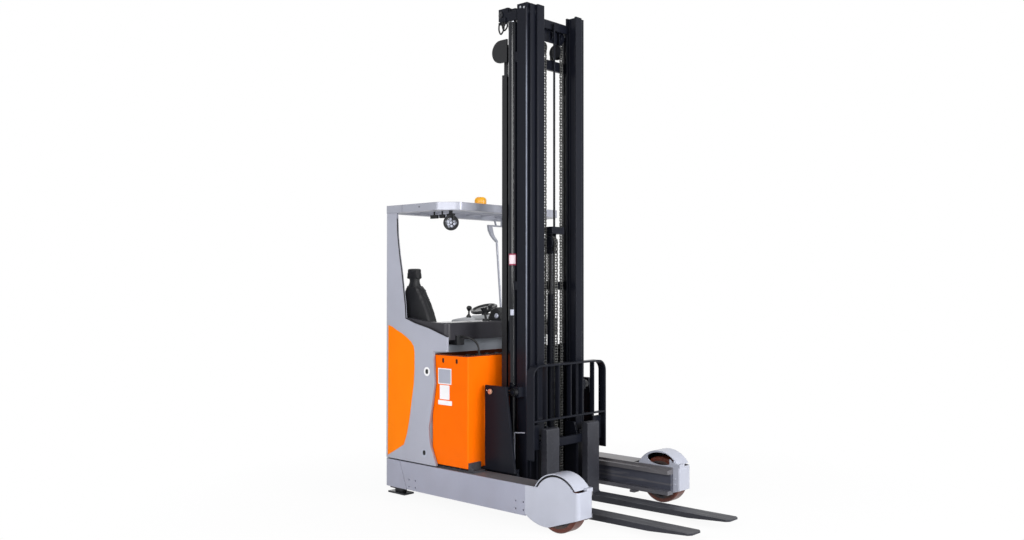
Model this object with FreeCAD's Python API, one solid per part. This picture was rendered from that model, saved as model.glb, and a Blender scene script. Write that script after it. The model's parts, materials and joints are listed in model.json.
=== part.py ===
import FreeCAD, Part
import math
import os

# Reach truck with a three-stage telescopic mast, sizes in millimetres.
# X runs forward to the fork tips, Y to the left, Z up. Everything is laid out from the load axle
# (x = 0) on the floor (z = 0), and save() moves it so that the origin is under the middle.

Vector = FreeCAD.Vector
os.makedirs("parts", exist_ok=True)

# ------------------------------------------------------------------ driving dimensions
truck_width = 1270.0
chassis_bottom = 70.0
chassis_height = 195.0
plate = 12.0                 # frame plate
skirt_plate = 8.0            # outer side plates
running_gap = 0.3            # rollers, sliding faces and seats
clearance = 6.0              # between parts that move past each other
pin_gap = 0.05               # radial play of pins and shafts

load_wheel_radius = 160.0
load_wheel_width = 100.0
load_axle_radius = 22.0
drive_wheel_radius = 180.0
drive_wheel_width = 130.0
drive_offset = 250.0         # drive wheel to the left of the middle
drive_overhang = 235.0       # drive axle in front of the rear bumper

arm_inner = 420.0            # half distance between the arm rails
rail_depth = 52.0
rail_flange = 28.0
rail_height = 170.0
rail_bottom = 80.0

battery_length = 355.0       # along the truck
battery_height = 765.0
battery_lift = 22.0          # roller deck between frame and battery
battery_front = -797.0

cab_length = 444.0           # inside, from the rear wall to the bulkhead
cab_wall = 60.0              # side walls
rear_wall = 30.0
flap_thickness = 18.0        # front part of the right side panel
panel_inset = 5.0            # panels stand back from the skirts
guard_top = 2115.0
guard_band = 56.0
guard_overlap = 158.0        # overhead guard past the battery's front edge

mast_stage_height = 3392.0
mast_bottom = 76.0
mast_half_width = 310.0
mast_rail_depth = 95.0
mast_flange = 14.0
mast_web = 12.0
mast_stagger = 20.0          # each stage stands this much further forward
mast_front = -485.0          # front face of the inner stage
guide_width = 38.0           # room between the webs of two stages

fork_length = 1115.0
fork_width = 130.0
fork_thickness = 42.0
fork_tip_thickness = 12.0
fork_spread = 574.0          # over both forks
fork_heel_face = -365.0
fork_bottom = 22.0
shank_thickness = 50.0
shank_top = 565.0

# ------------------------------------------------------------------ derived places
half_width = truck_width / 2
skirt_inner = half_width - skirt_plate
chassis_top = chassis_bottom + chassis_height
panel_outer = half_width - panel_inset
flap_inner = panel_outer - flap_thickness
wall_inner = panel_outer - cab_wall
battery_half = flap_inner - clearance
battery_rear = battery_front - battery_length
battery_bottom = chassis_top + battery_lift
battery_top = battery_bottom + battery_height
bay_wall_front = battery_rear - 2.0
bay_wall_rear = bay_wall_front - plate
inside_rear = bay_wall_rear - cab_length
chassis_rear = inside_rear - rear_wall
drive_x = chassis_rear + drive_overhang
guard_front = battery_front - guard_overlap
guard_bottom = guard_top - guard_band
mast_top = mast_bottom + mast_stage_height
fork_tip = fork_heel_face + fork_length
origin_x = (chassis_rear + fork_tip) / 2


# ------------------------------------------------------------------ helpers
def block(x, y, z):
    """Box from (low, high) pairs."""
    x0, x1 = sorted(x)
    y0, y1 = sorted(y)
    z0, z1 = sorted(z)
    return Part.makeBox(x1 - x0, y1 - y0, z1 - z0, Vector(x0, y0, z0))


def face_of(points):
    return Part.Face(Part.makePolygon(points + [points[0]]))


def slab_xz(points, y):
    """Outline in X and Z, thickened along Y from y[0] to y[1]."""
    y0, y1 = sorted(y)
    return face_of([Vector(a, y0, b) for a, b in points]).extrude(Vector(0, y1 - y0, 0))


def slab_xy(points, z):
    z0, z1 = sorted(z)
    return face_of([Vector(a, b, z0) for a, b in points]).extrude(Vector(0, 0, z1 - z0))


def slab_yz(points, x):
    x0, x1 = sorted(x)
    return face_of([Vector(x0, a, b) for a, b in points]).extrude(Vector(x1 - x0, 0, 0))


def bar(start, end, radius):
    a, b = Vector(*start), Vector(*end)
    return Part.makeCylinder(radius, (b - a).Length, a, b - a)


def ring(start, end, outer, inner):
    return bar(start, end, outer).cut(bar(start, end, inner))


def join(shapes):
    whole = shapes[0].fuse(shapes[1:]) if len(shapes) > 1 else shapes[0]
    return whole.removeSplitter()


def left_of(shape):
    return shape.mirror(Vector(0, 0, 0), Vector(0, 1, 0))


def both(right):
    return [right, left_of(right)]


def edges_along(shape, direction, test):
    """Straight edges along a direction whose middle passes the test."""
    picked = []
    for edge in shape.Edges:
        run = edge.Vertexes[-1].Point - edge.Vertexes[0].Point
        if run.Length > 0.01 and run.cross(direction).Length < 0.01 and test(edge.CenterOfMass):
            picked.append(edge)
    return picked


def vertical_edges(shape, test):
    return edges_along(shape, Vector(0, 0, 1), test)


def cross_edges(shape, test):
    return edges_along(shape, Vector(0, 1, 0), test)


def rim_edges(shape, radius):
    """Full circles of one radius."""
    return [e for e in shape.Edges if e.Closed and abs(e.Curve.Radius - radius) < 0.01]


def save(name, *shapes):
    """Writes one node, moved to the frame with its origin under the middle of the truck."""
    moved = []
    for shape in shapes:
        copy = shape.copy()
        copy.translate(Vector(-origin_x, 0, 0))
        moved.append(copy)
    solid = moved[0] if len(moved) == 1 else Part.makeCompound(moved)
    solid.exportStep("parts/" + name + ".step")


# ------------------------------------------------------------------ wheel arms with the reach rails
arm_rear = chassis_rear + 260.0
cover_front = load_wheel_radius + 20.0
cover_bend = 28.0             # outer corner of the bent cover
cover_inner_bend = 16.0
arm_front = cover_front - 55.0
wheel_bay_wall = -(load_wheel_radius + 45.0)
skirt_front = -(load_wheel_radius + 90.0)
rail_outer = arm_inner + rail_depth
rail_top = rail_bottom + rail_height
arm_web_outer = rail_outer + 18.0
axle_z = load_wheel_radius
axle_end_y = -rail_outer + plate / 2


def wheel_arm():
    """Channel rail for the reach rollers, its stiffening web and the box section outside it."""
    channel = block((battery_rear, arm_front), (-rail_outer, -arm_inner), (rail_bottom, rail_top))
    hollow = block((battery_rear - 1, arm_front + 1), (-rail_outer + plate, -arm_inner + 1),
                   (rail_bottom + rail_flange, rail_top - rail_flange))
    web = block((arm_rear, arm_front), (-arm_web_outer, -rail_outer), (rail_bottom, chassis_top))
    box = block((arm_rear, wheel_bay_wall), (-skirt_inner, -arm_web_outer), (rail_bottom, chassis_top))
    inside = block((arm_rear + plate, wheel_bay_wall - plate), (-skirt_inner + plate, -arm_web_outer),
                   (rail_bottom + plate, chassis_top - plate))
    scraper = block((wheel_bay_wall + 20, wheel_bay_wall + 60), (-rail_outer + 6, -arm_inner + 12),
                    (rail_bottom - 16, rail_bottom))
    axle_hole = bar((0, -arm_web_outer - 1, axle_z), (0, axle_end_y, axle_z), load_axle_radius)
    return join([channel.cut(hollow), web, box.cut(inside), scraper]).cut(axle_hole)


save("wheel_arms", *both(wheel_arm()))

# ------------------------------------------------------------------ silver side skirts
seam_top = chassis_rear + 174.0
seam_bottom = chassis_rear + 254.0
seam_gap = 4.0
bolt_pitch_x = 66.0
bolt_pitch_z = 50.0
bolt_hole_radius = 6.0
bolt_groups = ((chassis_rear + 310.0, 118.0), (skirt_front - 48.0, 129.0))


def side_skirt():
    outline = [(seam_top, chassis_top), (seam_bottom, chassis_bottom), (skirt_front, chassis_bottom),
               (skirt_front, chassis_top)]
    skirt = slab_xz(outline, (-half_width, -skirt_inner))
    for centre_x, centre_z in bolt_groups:
        for dx in (-bolt_pitch_x / 2, bolt_pitch_x / 2):
            for dz in (-bolt_pitch_z / 2, bolt_pitch_z / 2):
                x, z = centre_x + dx, centre_z + dz
                skirt = skirt.cut(bar((x, -half_width - 1, z), (x, -skirt_inner + 1, z), bolt_hole_radius))
    return skirt


save("side_skirts", *both(side_skirt()))

# ------------------------------------------------------------------ load wheels
wheel_side_gap = 7.0
wheel_half = load_wheel_width / 2
wheel_centre_y = -(skirt_inner - wheel_side_gap - wheel_half)
tyre_thickness = 28.0
hub_radius = load_wheel_radius - tyre_thickness


def wheel_disc(radius, hole, half, x, y, z):
    return ring((x, y - half, z), (x, y + half, z), radius, hole)


def dished_hub(radius, hole, half, place, rim, boss, depth):
    """Wheel centre with a recess on each side between its rim and its boss."""
    x, y, z = place
    hub = wheel_disc(radius, hole, half, x, y, z)
    for side in (-1, 1):
        face_y = y + side * half
        hub = hub.cut(ring((x, face_y, z), (x, face_y - side * depth, z), radius - rim, boss))
    return hub


def load_tyre():
    tyre = wheel_disc(load_wheel_radius, hub_radius, wheel_half, 0, wheel_centre_y, axle_z)
    return tyre.makeChamfer(7.0, rim_edges(tyre, load_wheel_radius))


load_hub = dished_hub(hub_radius, load_axle_radius + pin_gap, wheel_half, (0, wheel_centre_y, axle_z), 18, 48,
                      26)
for side_name, shape in zip(("_right", "_left"), both(load_hub)):
    save("load_wheel_hub" + side_name, shape)
for side_name, shape in zip(("_right", "_left"), both(load_tyre())):
    save("load_wheel_tyre" + side_name, shape)
save("load_axles", *both(bar((0, -skirt_inner, axle_z), (0, axle_end_y, axle_z), load_axle_radius)))

# ------------------------------------------------------------------ load wheel covers
dome_z = load_wheel_radius + 15.0     # centre of the dome over the wheel
dome_outer = load_wheel_radius + 32.0
dome_sheet = 6.0
dome_inner_y = arm_web_outer + 8.0
face_arc = load_wheel_radius + 12.0
slot_z = dome_z + 98.0                # slot between the dome and the front of the cover
slot_height = 9.0
window_x, window_z = 20.0, slot_z + 40.0
window_half = (110.0, 43.0)


def cover_outline():
    """Side view of the outer face: an arc over the wheel, cut off straight in front and rounded behind."""
    y = -half_width
    reach_x = math.sqrt(face_arc ** 2 - (slot_z - dome_z) ** 2)
    rear_x = -math.sqrt(face_arc ** 2 - (chassis_top - dome_z) ** 2)
    crown, heel_point = Vector(rear_x, y, chassis_top), Vector(-60, y, 27)
    low = Vector(skirt_front, y, chassis_bottom + 12)
    front_low, front_top = Vector(cover_front, y, 108), Vector(cover_front, y, slot_z)
    slot_end = Vector(reach_x, y, slot_z)
    edges = [Part.LineSegment(Vector(skirt_front, y, chassis_top), low).toShape(),
             Part.Arc(low, Vector(-168, y, 41), heel_point).toShape(),
             Part.LineSegment(heel_point, front_low).toShape(),
             Part.LineSegment(front_low, front_top).toShape(),
             Part.LineSegment(front_top, slot_end).toShape(),
             Part.Arc(slot_end, Vector(0, y, dome_z + face_arc), crown).toShape(),
             Part.LineSegment(crown, Vector(skirt_front, y, chassis_top)).toShape()]
    return Part.Face(Part.Wire(edges)).extrude(Vector(0, half_width, 0))


def bent_sheet():
    """Outer face, front and short inner return in one sheet, bent round both front corners."""
    t, inner_y = skirt_plate, -arm_web_outer

    def bent(low_x, front_x, y, radii, z):
        body = block((low_x, front_x), y, z)
        for corner_y, radius in zip(y, radii):
            body = body.makeFillet(radius, vertical_edges(body, lambda c: c.x > front_x - 1
                                                          and abs(c.y - corner_y) < 1))
        return body

    outer = bent(skirt_front, cover_front, (-half_width, inner_y), (cover_bend, cover_inner_bend), (0, 400))
    inner = bent(skirt_front - 1, cover_front - t, (-half_width + t, inner_y - t),
                 (cover_bend - t, cover_inner_bend - t), (-1, 401))
    open_side = block((skirt_front - 1, arm_front - 30), (inner_y - t - 1, 0), (-1, 401))
    sheet = outer.cut([inner, open_side]).common(cover_outline())
    bolts = [bar((arm_front + 14, inner_y - 1, z), (arm_front + 14, inner_y + 5, z), 7)
             for z in (rail_bottom + 67, rail_bottom + 106)]
    return join([sheet] + bolts)


def wheel_cover():
    """Bent outer sheet, the dome over the wheel and the plate with a window inside the dome."""
    inner_y, r = -dome_inner_y, dome_outer - dome_sheet
    low = [block((-300, 0), (-half_width - 1, 0), (-300, chassis_top)),
           block((0, 300), (-half_width - 1, 0), (-300, slot_z + slot_height))]
    dome = ring((0, -half_width, dome_z), (0, inner_y, dome_z), dome_outer, r)
    plate_inside = bar((0, inner_y, dome_z), (0, -arm_web_outer, dome_z), r + 1)
    plate_inside = plate_inside.cut(block((-300, 300), (-half_width, 0), (-300, chassis_top)))
    ellipse = Part.Ellipse(Vector(0, 0, 0), *window_half).toShape()
    window = Part.Face(Part.Wire([ellipse])).extrude(Vector(0, 0, 300))
    window.rotate(Vector(0, 0, 0), Vector(1, 0, 0), 90)
    window.translate(Vector(window_x, -arm_web_outer + 100, window_z))
    tie = block((150, cover_front), (inner_y - 52, inner_y + 8), (slot_z - 6, slot_z + slot_height + 8))
    tie = tie.cut(bar((0, -half_width - 1, dome_z), (0, 0, dome_z), r))
    return join([bent_sheet(), dome.cut(low), plate_inside.cut(window), tie])


save("load_wheel_covers", *both(wheel_cover()))

# ------------------------------------------------------------------ rear frame and bumper
bumper_wall = 18.0
bumper_inner_x = chassis_rear + bumper_wall
drive_well = drive_wheel_radius + 27.0
frame_half = half_width - bumper_wall
bridge_top = chassis_top + 190.0
neck_radius = 80.0
neck_hole = neck_radius + 5.0
bridge_half = drive_well + 1.0
reach_tube_radius = 36.0
reach_z = 175.0


def drive_bridge():
    """Portal over the drive wheel that carries the slewing bearing."""
    pieces = []
    for side in (-1, 1):
        inner = drive_offset + side * bridge_half
        pieces.append(block((drive_x - 90, drive_x + 90), (inner, inner + side * plate),
                            (chassis_top, bridge_top - plate)))
    reach = bridge_half + plate
    deck = block((drive_x - 100, drive_x + 100), (drive_offset - reach, drive_offset + reach),
                 (bridge_top - plate, bridge_top))
    hole = bar((drive_x, drive_offset, chassis_top), (drive_x, drive_offset, bridge_top + 1), neck_hole)
    return [deck.cut(hole)] + pieces


def frame_plan(inset):
    """T-shaped plan of the rear frame, `inset` inside its outline."""
    side, stem = frame_half - inset, rail_outer - inset
    rear, shoulder, front = bumper_inner_x + inset, arm_rear - inset, battery_rear - inset
    return [(rear, -side), (shoulder, -side), (shoulder, -stem), (front, -stem),
            (front, stem), (shoulder, stem), (shoulder, side), (rear, side)]


def rear_frame():
    whole = slab_xy(frame_plan(0), (chassis_bottom, chassis_top))
    inside = slab_xy(frame_plan(plate), (chassis_bottom + plate, chassis_top - plate))
    well = bar((drive_x, drive_offset, 0), (drive_x, drive_offset, bridge_top), drive_well)
    tube_hole = bar((battery_rear - plate - 1, 0, reach_z), (battery_rear + 1, 0, reach_z),
                    reach_tube_radius + running_gap)
    return join([whole.cut([inside, well, tube_hole])] + drive_bridge())


def rear_bumper():
    front = seam_bottom + 100
    whole = block((chassis_rear, front), (-half_width, half_width), (chassis_bottom - 2, chassis_top))
    whole = whole.makeFillet(45, vertical_edges(whole, lambda c: c.x < chassis_rear + 1))
    inside = block((bumper_inner_x, front + 1), (-frame_half, frame_half), (0, chassis_top + 1))
    seam = slab_xz([(seam_top - seam_gap, chassis_top + 1), (seam_bottom - seam_gap, chassis_bottom - 3),
                    (front + 1, chassis_bottom - 3), (front + 1, chassis_top + 1)],
                    (-half_width - 1, half_width + 1))
    return whole.cut([inside, seam])


save("rear_frame", rear_frame())
save("rear_bumper", rear_bumper())

# ------------------------------------------------------------------ stabiliser foot at the right rear corner
foot_x = (chassis_rear + 20.0, chassis_rear + 200.0)
foot_y = (-half_width + 23.0, -half_width + 115.0)


def stabiliser_foot():
    """Rubber-faced pad on a short stem, pressed up under the frame."""
    def step(inset, z):
        return block((foot_x[0] + inset, foot_x[1] - inset), (foot_y[0] + inset / 2, foot_y[1] - inset / 2),
                     z)
    return join([step(0, (14, 26)), step(50, (26, 50)), step(15, (50, chassis_bottom))])


save("stabiliser_foot", stabiliser_foot())

# ------------------------------------------------------------------ drive unit
cheek_inner = drive_wheel_width / 2 + 10.0
cheek_outer = cheek_inner + 45.0
motor_radius = 92.0
motor_top = bridge_top + 315.0
flange_top = bridge_top + 20.0
drive_axle_radius = 30.0
drive_tyre_thickness = 30.0


def drive_gearbox():
    x, y, z = drive_x, drive_offset, drive_wheel_radius
    head_z = 2 * drive_wheel_radius + 8.0
    neck = bar((x, y, head_z), (x, y, flange_top), neck_radius)
    flange = bar((x, y, bridge_top + running_gap), (x, y, flange_top), neck_radius + 28)
    yoke = block((x - 70, x + 70), (y - 60, y + cheek_outer), (head_z, head_z + 28))
    cheek = block((x - 70, x + 70), (y + cheek_inner, y + cheek_outer), (z, head_z))
    boss = bar((x, y + cheek_inner, z), (x, y + cheek_outer, z), 88)
    stub = bar((x, y - 55, z), (x, y + cheek_inner, z), drive_axle_radius)
    return join([neck, flange, yoke, cheek, boss, stub])


def drive_motor():
    x, y = drive_x, drive_offset
    body = bar((x, y, flange_top), (x, y, motor_top), motor_radius)
    return body.cut(bar((x, y, motor_top - 8), (x, y, motor_top + 1), motor_radius - 30))


def drive_tyre():
    tyre = wheel_disc(drive_wheel_radius, drive_wheel_radius - drive_tyre_thickness, drive_wheel_width / 2,
                      drive_x, drive_offset, drive_wheel_radius)
    return tyre.makeChamfer(10.0, rim_edges(tyre, drive_wheel_radius))


save("drive_gearbox", drive_gearbox())
save("drive_motor", drive_motor())
save("drive_wheel_hub", dished_hub(drive_wheel_radius - drive_tyre_thickness, drive_axle_radius + pin_gap,
                                   drive_wheel_width / 2, (drive_x, drive_offset, drive_wheel_radius), 20, 62,
                                   34))
save("drive_wheel_tyre", drive_tyre())

# ------------------------------------------------------------------ battery on its deck
deck_thickness = 10.0
tray_wall = 8.0
roller_count = 6
lock_height = 62.0
lock_width = 110.0
cell_rows = 2
cell_columns = 12
cell_top = battery_top - 26.0
cell_groove = 4.0
cap_radius = 15.0


def battery_deck():
    """Roller table that the battery slides out over."""
    low = chassis_top + deck_thickness
    pieces = [block((battery_rear, battery_front), (-battery_half + 6, battery_half - 6), (chassis_top, low))]
    for i in range(roller_count):
        x = battery_rear + 40 + i * (battery_length - 80) / (roller_count - 1)
        pieces.append(block((x - 8, x + 8), (-battery_half + 20, battery_half - 20), (low, battery_bottom)))
    return join(pieces)


def battery_case():
    """Open steel tray with a rounded outline and lifting eyes near its top edge."""
    case = block((battery_rear, battery_front), (-battery_half, battery_half), (battery_bottom, battery_top))
    case = case.makeFillet(10.0, vertical_edges(case, lambda c: True))
    t = tray_wall
    cuts = [block((battery_rear + t, battery_front - t), (-battery_half + t, battery_half - t),
                  (battery_bottom + t, battery_top + 1))]
    for side in (-1, 1):
        y = side * battery_half
        for x in (battery_rear + 110, battery_front - 110):
            z = battery_top - 42
            cuts += [bar((x, y - side * (t + 1), z + dz), (x, y + side, z + dz), 11) for dz in (-6, 6)]
            cuts.append(block((x - 11, x + 11), (y - side * (t + 1), y + side), (z - 6, z + 6)))
    return case.cut(cuts)


def battery_cells():
    """Cell block with grooves between the cells and a vent cap on each."""
    t = tray_wall
    x0, x1 = battery_rear + t, battery_front - t
    half = battery_half - t
    pitch_x, pitch_y = (x1 - x0) / cell_rows, 2 * half / cell_columns
    cells = block((x0, x1), (-half, half), (battery_bottom + t, cell_top))
    grooves, caps = [], []
    for i in range(1, cell_rows):
        x = x0 + i * pitch_x
        grooves.append(block((x - cell_groove / 2, x + cell_groove / 2), (-half - 1, half + 1),
                             (cell_top - 8, cell_top + 1)))
    for j in range(1, cell_columns):
        y = -half + j * pitch_y
        grooves.append(block((x0 - 1, x1 + 1), (y - cell_groove / 2, y + cell_groove / 2),
                             (cell_top - 8, cell_top + 1)))
    for i in range(cell_rows):
        for j in range(cell_columns):
            x, y = x0 + (i + 0.5) * pitch_x, -half + (j + 0.5) * pitch_y
            caps.append(bar((x, y, cell_top - 2), (x, y, cell_top + 12), cap_radius))
            caps.append(block((x - 12, x + 12), (y + cap_radius + 8, y + cap_radius + 22),
                              (cell_top - 2, cell_top + 9)))
    return join([cells.cut(grooves)] + caps)


def battery_lock():
    y = (-arm_web_outer - lock_width, -arm_web_outer)
    low, high = battery_front + running_gap, battery_front + 52
    foot = block((low, high), y, (chassis_top, chassis_top + 12))
    upright = block((low, low + 12), y, (chassis_top, chassis_top + lock_height))
    rib = slab_xz([(low + 12, chassis_top + 12), (high, chassis_top + 12),
                   (low + 12, chassis_top + lock_height - 8)],
                  (y[0], y[0] + 10))
    return join([foot, upright, rib])


save("battery_deck", battery_deck())
save("battery_case", battery_case())
save("battery_cells", battery_cells())
save("battery_locks", *both(battery_lock()))

# ------------------------------------------------------------------ panels of the driver's compartment
panel_bottom = chassis_top + 8.0
ledge_rear_x = chassis_rear + 231.0
ledge_rear_z = 1297.0
ledge_slope = 0.42
flap_front_x = battery_front - 193.0


def ledge_z(x):
    """Sloping top edge of the right side panel beside the driver."""
    return ledge_rear_z - ledge_slope * (x - ledge_rear_x)


def side_panel_right():
    """Full-height moulded column that also carries the guard, running forward as a thinner flap."""
    column = [(chassis_rear, panel_bottom), (chassis_rear, guard_bottom), (chassis_rear + 126, guard_bottom),
              (chassis_rear + 131, guard_bottom - 50), (ledge_rear_x, ledge_rear_z)]
    flap = column + [(flap_front_x, ledge_z(flap_front_x)), (flap_front_x - 5, 1073),
                     (flap_front_x - 132, 766),
                     (flap_front_x - 163, 449), (flap_front_x - 91, panel_bottom)]
    wall = column + [(bay_wall_rear, ledge_z(bay_wall_rear)), (bay_wall_rear, panel_bottom)]
    whole = join([slab_xz(flap, (-panel_outer, -flap_inner)), slab_xz(wall, (-flap_inner, -wall_inner))])
    return whole.makeFillet(30.0, vertical_edges(whole,
                                                 lambda c: c.x < chassis_rear + 1 and c.y < -panel_outer + 1))


def side_panel_left():
    """Low panel behind the step where the driver gets in."""
    outline = [(chassis_rear, panel_bottom), (chassis_rear, 1180), (chassis_rear + 310, 1120),
               (chassis_rear + 350, 520), (chassis_rear + 450, 480), (bay_wall_rear, 480),
               (bay_wall_rear, panel_bottom)]
    whole = slab_xz(outline, (wall_inner, panel_outer))
    return whole.makeFillet(30.0,
                            vertical_edges(whole, lambda c: c.x < chassis_rear + 1 and c.y > panel_outer - 1))


def rear_panel():
    outline = [(-wall_inner, panel_bottom), (wall_inner, panel_bottom), (wall_inner, 1240), (-40, 1200),
               (-120, 1150), (-wall_inner, 1150)]
    return slab_yz(outline, (chassis_rear, inside_rear))


save("side_panel_right", side_panel_right())
save("side_panel_left", side_panel_left())
save("rear_panel", rear_panel())

# ------------------------------------------------------------------ floor, plinth and hood
floor_top = 2 * drive_wheel_radius + 54.0
hood_wall = 8.0
hood_front = inside_rear + 322.0
hood_right = drive_offset - bridge_half - plate - clearance - hood_wall
hood_left = drive_offset + bridge_half + plate + clearance + hood_wall
seat_depth = 485.0                    # from the backrest's back to the cushion's front
seat_back_y = -wall_inner + 15.0
plinth_left = seat_back_y + seat_depth - 60.0
plinth_top = 700.0
console_bottom = 1150.0
console_top = 1272.0


def cab_frame():
    """Floor with its riser and the bulkhead behind the battery."""
    t = hood_wall
    deck = block((inside_rear, bay_wall_rear), (plinth_left, wall_inner), (floor_top - plate, floor_top))
    deck = deck.cut(block((inside_rear + t, hood_front - t), (hood_right + t, hood_left - t),
                          (floor_top - plate - 1, floor_top + 1)))
    front = block((bay_wall_rear - plate, bay_wall_rear), (plinth_left, wall_inner),
                  (chassis_top, floor_top - plate))
    wall = block((bay_wall_rear, bay_wall_front), (-flap_inner, flap_inner), (chassis_top, console_bottom))
    return join([deck, front, wall])


def seat_plinth():
    t = hood_wall
    outer = block((inside_rear, bay_wall_rear), (-wall_inner, plinth_left), (chassis_top, plinth_top))
    inner = block((inside_rear + t, bay_wall_rear - t), (-wall_inner + t, plinth_left - t),
                  (chassis_top, plinth_top - t))
    return outer.cut(inner)


def console_hood():
    """Moulded housing over the drive motor, with a top that rises towards the steering wheel."""
    t = hood_wall
    nose_x, crest_x = hood_front - 64, hood_front - 104
    outline = [(inside_rear, floor_top), (hood_front, floor_top), (hood_front, 860),
               (nose_x, 1276), (crest_x, 1300), (inside_rear, 1264)]
    inner = [(inside_rear + t, floor_top - 1), (hood_front - t, floor_top - 1), (hood_front - t, 860),
             (nose_x - t, 1270), (crest_x - 2, 1300 - t), (inside_rear + t, 1264 - t)]
    shell = slab_xz(outline, (hood_right, hood_left))
    rounded = [e for e in shell.Edges if abs(e.CenterOfMass.y - (hood_right + hood_left) / 2) > 100
               and e.CenterOfMass.z > floor_top + 10 and e.CenterOfMass.x > inside_rear + 5]
    return shell.makeFillet(24.0, rounded).cut(slab_xz(inner, (hood_right + t, hood_left - t)))


save("cab_frame", cab_frame())
save("seat_plinth", seat_plinth())
save("console_hood", console_hood())

# ------------------------------------------------------------------ seat, facing left
seat_half = 194.0
seat_x = inside_rear + seat_half + 6.0
pan_bottom = plinth_top + 100.0
pan_top = pan_bottom + 20.0
cushion_bottom = pan_top + running_gap
cushion_top = 930.0
back_thickness = 78.0
backrest_top = 1545.0
headrest_bottom = 1568.0
headrest_top = 1662.0
post_pitch = 64.0
seat_front_y = seat_back_y + seat_depth


def seat_cushion():
    body = block((seat_x - seat_half, seat_x + seat_half), (seat_back_y + back_thickness + 2, seat_front_y),
                 (cushion_bottom, cushion_top))
    return body.makeFillet(30.0, body.Edges)


def seat_suspension():
    base = block((seat_x - 190, seat_x + 190), (seat_back_y + 60, plinth_left - 8),
                 (plinth_top, plinth_top + 30))
    bellows = block((seat_x - 160, seat_x + 160), (seat_back_y + 80, plinth_left - 25),
                    (plinth_top + 30, pan_bottom))
    pan = block((seat_x - 200, seat_x + 200), (seat_back_y, plinth_left + 40), (pan_bottom, pan_top))
    return join([base, bellows, pan])


def seat_backrest():
    """Tall back that narrows at shoulder height towards the headrest."""
    right = [(180, cushion_bottom), (seat_half, 960), (seat_half - 12, 1270), (52, backrest_top)]
    outline = [(seat_x + dx, z) for dx, z in right] + [(seat_x - dx, z) for dx, z in reversed(right)]
    body = slab_xz(outline, (seat_back_y, seat_back_y + back_thickness))
    return body.makeFillet(26.0, body.Edges)


def headrest():
    body = block((seat_x - 88, seat_x + 88), (seat_back_y + 4, seat_back_y + back_thickness - 14),
                 (headrest_bottom, headrest_top))
    return body.makeFillet(26.0, body.Edges)


def headrest_posts():
    y = seat_back_y + back_thickness / 2
    return [bar((seat_x + dx, y, backrest_top), (seat_x + dx, y, headrest_bottom), 6)
            for dx in (-post_pitch / 2, post_pitch / 2)]


save("seat_cushion", seat_cushion())
save("seat_suspension", seat_suspension())
save("seat_backrest", seat_backrest())
save("headrest", headrest())
save("headrest_posts", *headrest_posts())

# ------------------------------------------------------------------ console across the front of the cab
console_front = bay_wall_rear + 163.0


def front_console():
    """Dark moulding over the battery edge, with an armrest that runs back along the right wall."""
    body = block((bay_wall_rear, console_front), (-flap_inner, flap_inner), (console_bottom, console_top))
    body = body.makeFillet(40.0, vertical_edges(body, lambda c: c.x > console_front - 1))
    rim = [e for e in body.Edges if abs(e.CenterOfMass.z - console_top) < 1
           and e.CenterOfMass.x > bay_wall_rear + 1]
    body = body.makeFillet(14.0, rim)
    back = ledge_rear_x + 12
    armrest = slab_xz([(back, ledge_z(back) + running_gap),
                       (bay_wall_rear, ledge_z(bay_wall_rear) + running_gap),
                       (bay_wall_rear, console_top), (back + 40, console_top + 20), (back, console_top + 26)],
                      (-flap_inner, seat_back_y - clearance))
    return join([body, armrest])


def joystick():
    """Lift lever: round gaiter, thin stem and a knob that widens upwards."""
    x, y = console_front - 77, -140
    base = bar((x, y, console_top), (x, y, console_top + 16), 26)
    stem = bar((x, y, console_top + 16), (x - 6, y - 6, console_top + 62), 9)
    knob = Part.makeCone(13, 27, 40, Vector(x - 6, y - 6, console_top + 58), Vector(-0.13, -0.13, 1))
    return join([base, stem, knob])


def display_pod():
    """Rounded instrument housing that stands on the console."""
    front = console_front
    outline = [(front - 147, console_top), (front - 7, console_top), (front - 27, console_top + 60),
               (front - 72, console_top + 98), (front - 117, console_top + 80),
               (front - 142, console_top + 30)]
    body = slab_xz(outline, (-45, 185))
    return body.makeFillet(9.0, [e for e in body.Edges if e.CenterOfMass.z > console_top + 20])


save("front_console", front_console())
save("joystick", joystick())
save("display_pod", display_pod())

# ------------------------------------------------------------------ battery plug and its lead
cable_radius = 7.0
plug_front = console_front + 18.0
plug_y = (-525.0, -455.0)
plug_step = 32.0                      # forward part of the plug, in front of the console
cable_y = -487.0
cable_z = console_bottom + 23.0
boot_x, boot_y = battery_front - 61.5, cable_y + 51.0
boot_top = cell_top + 30.0
cable_route = [(plug_front, cable_y, cable_z), (plug_front + 53, cable_y, cable_z),
               (boot_x - 23.9, cable_y + 29.8, cable_z - 22.3), (boot_x, boot_y, boot_top + 52.5),
               (boot_x, boot_y, boot_top)]


def battery_connector():
    """Plug housing hooked around the console's lower front edge, and the terminal boot on the cells."""
    back, low, high = plug_front - 110, console_bottom - 35, console_bottom + plug_step
    face, under = console_front + running_gap, console_bottom - running_gap
    outline = [(back, low), (plug_front, low), (plug_front, high), (face, high), (face, under), (back, under)]
    return [slab_xz(outline, plug_y), bar((boot_x, boot_y, cell_top), (boot_x, boot_y, boot_top), 13)]


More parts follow.
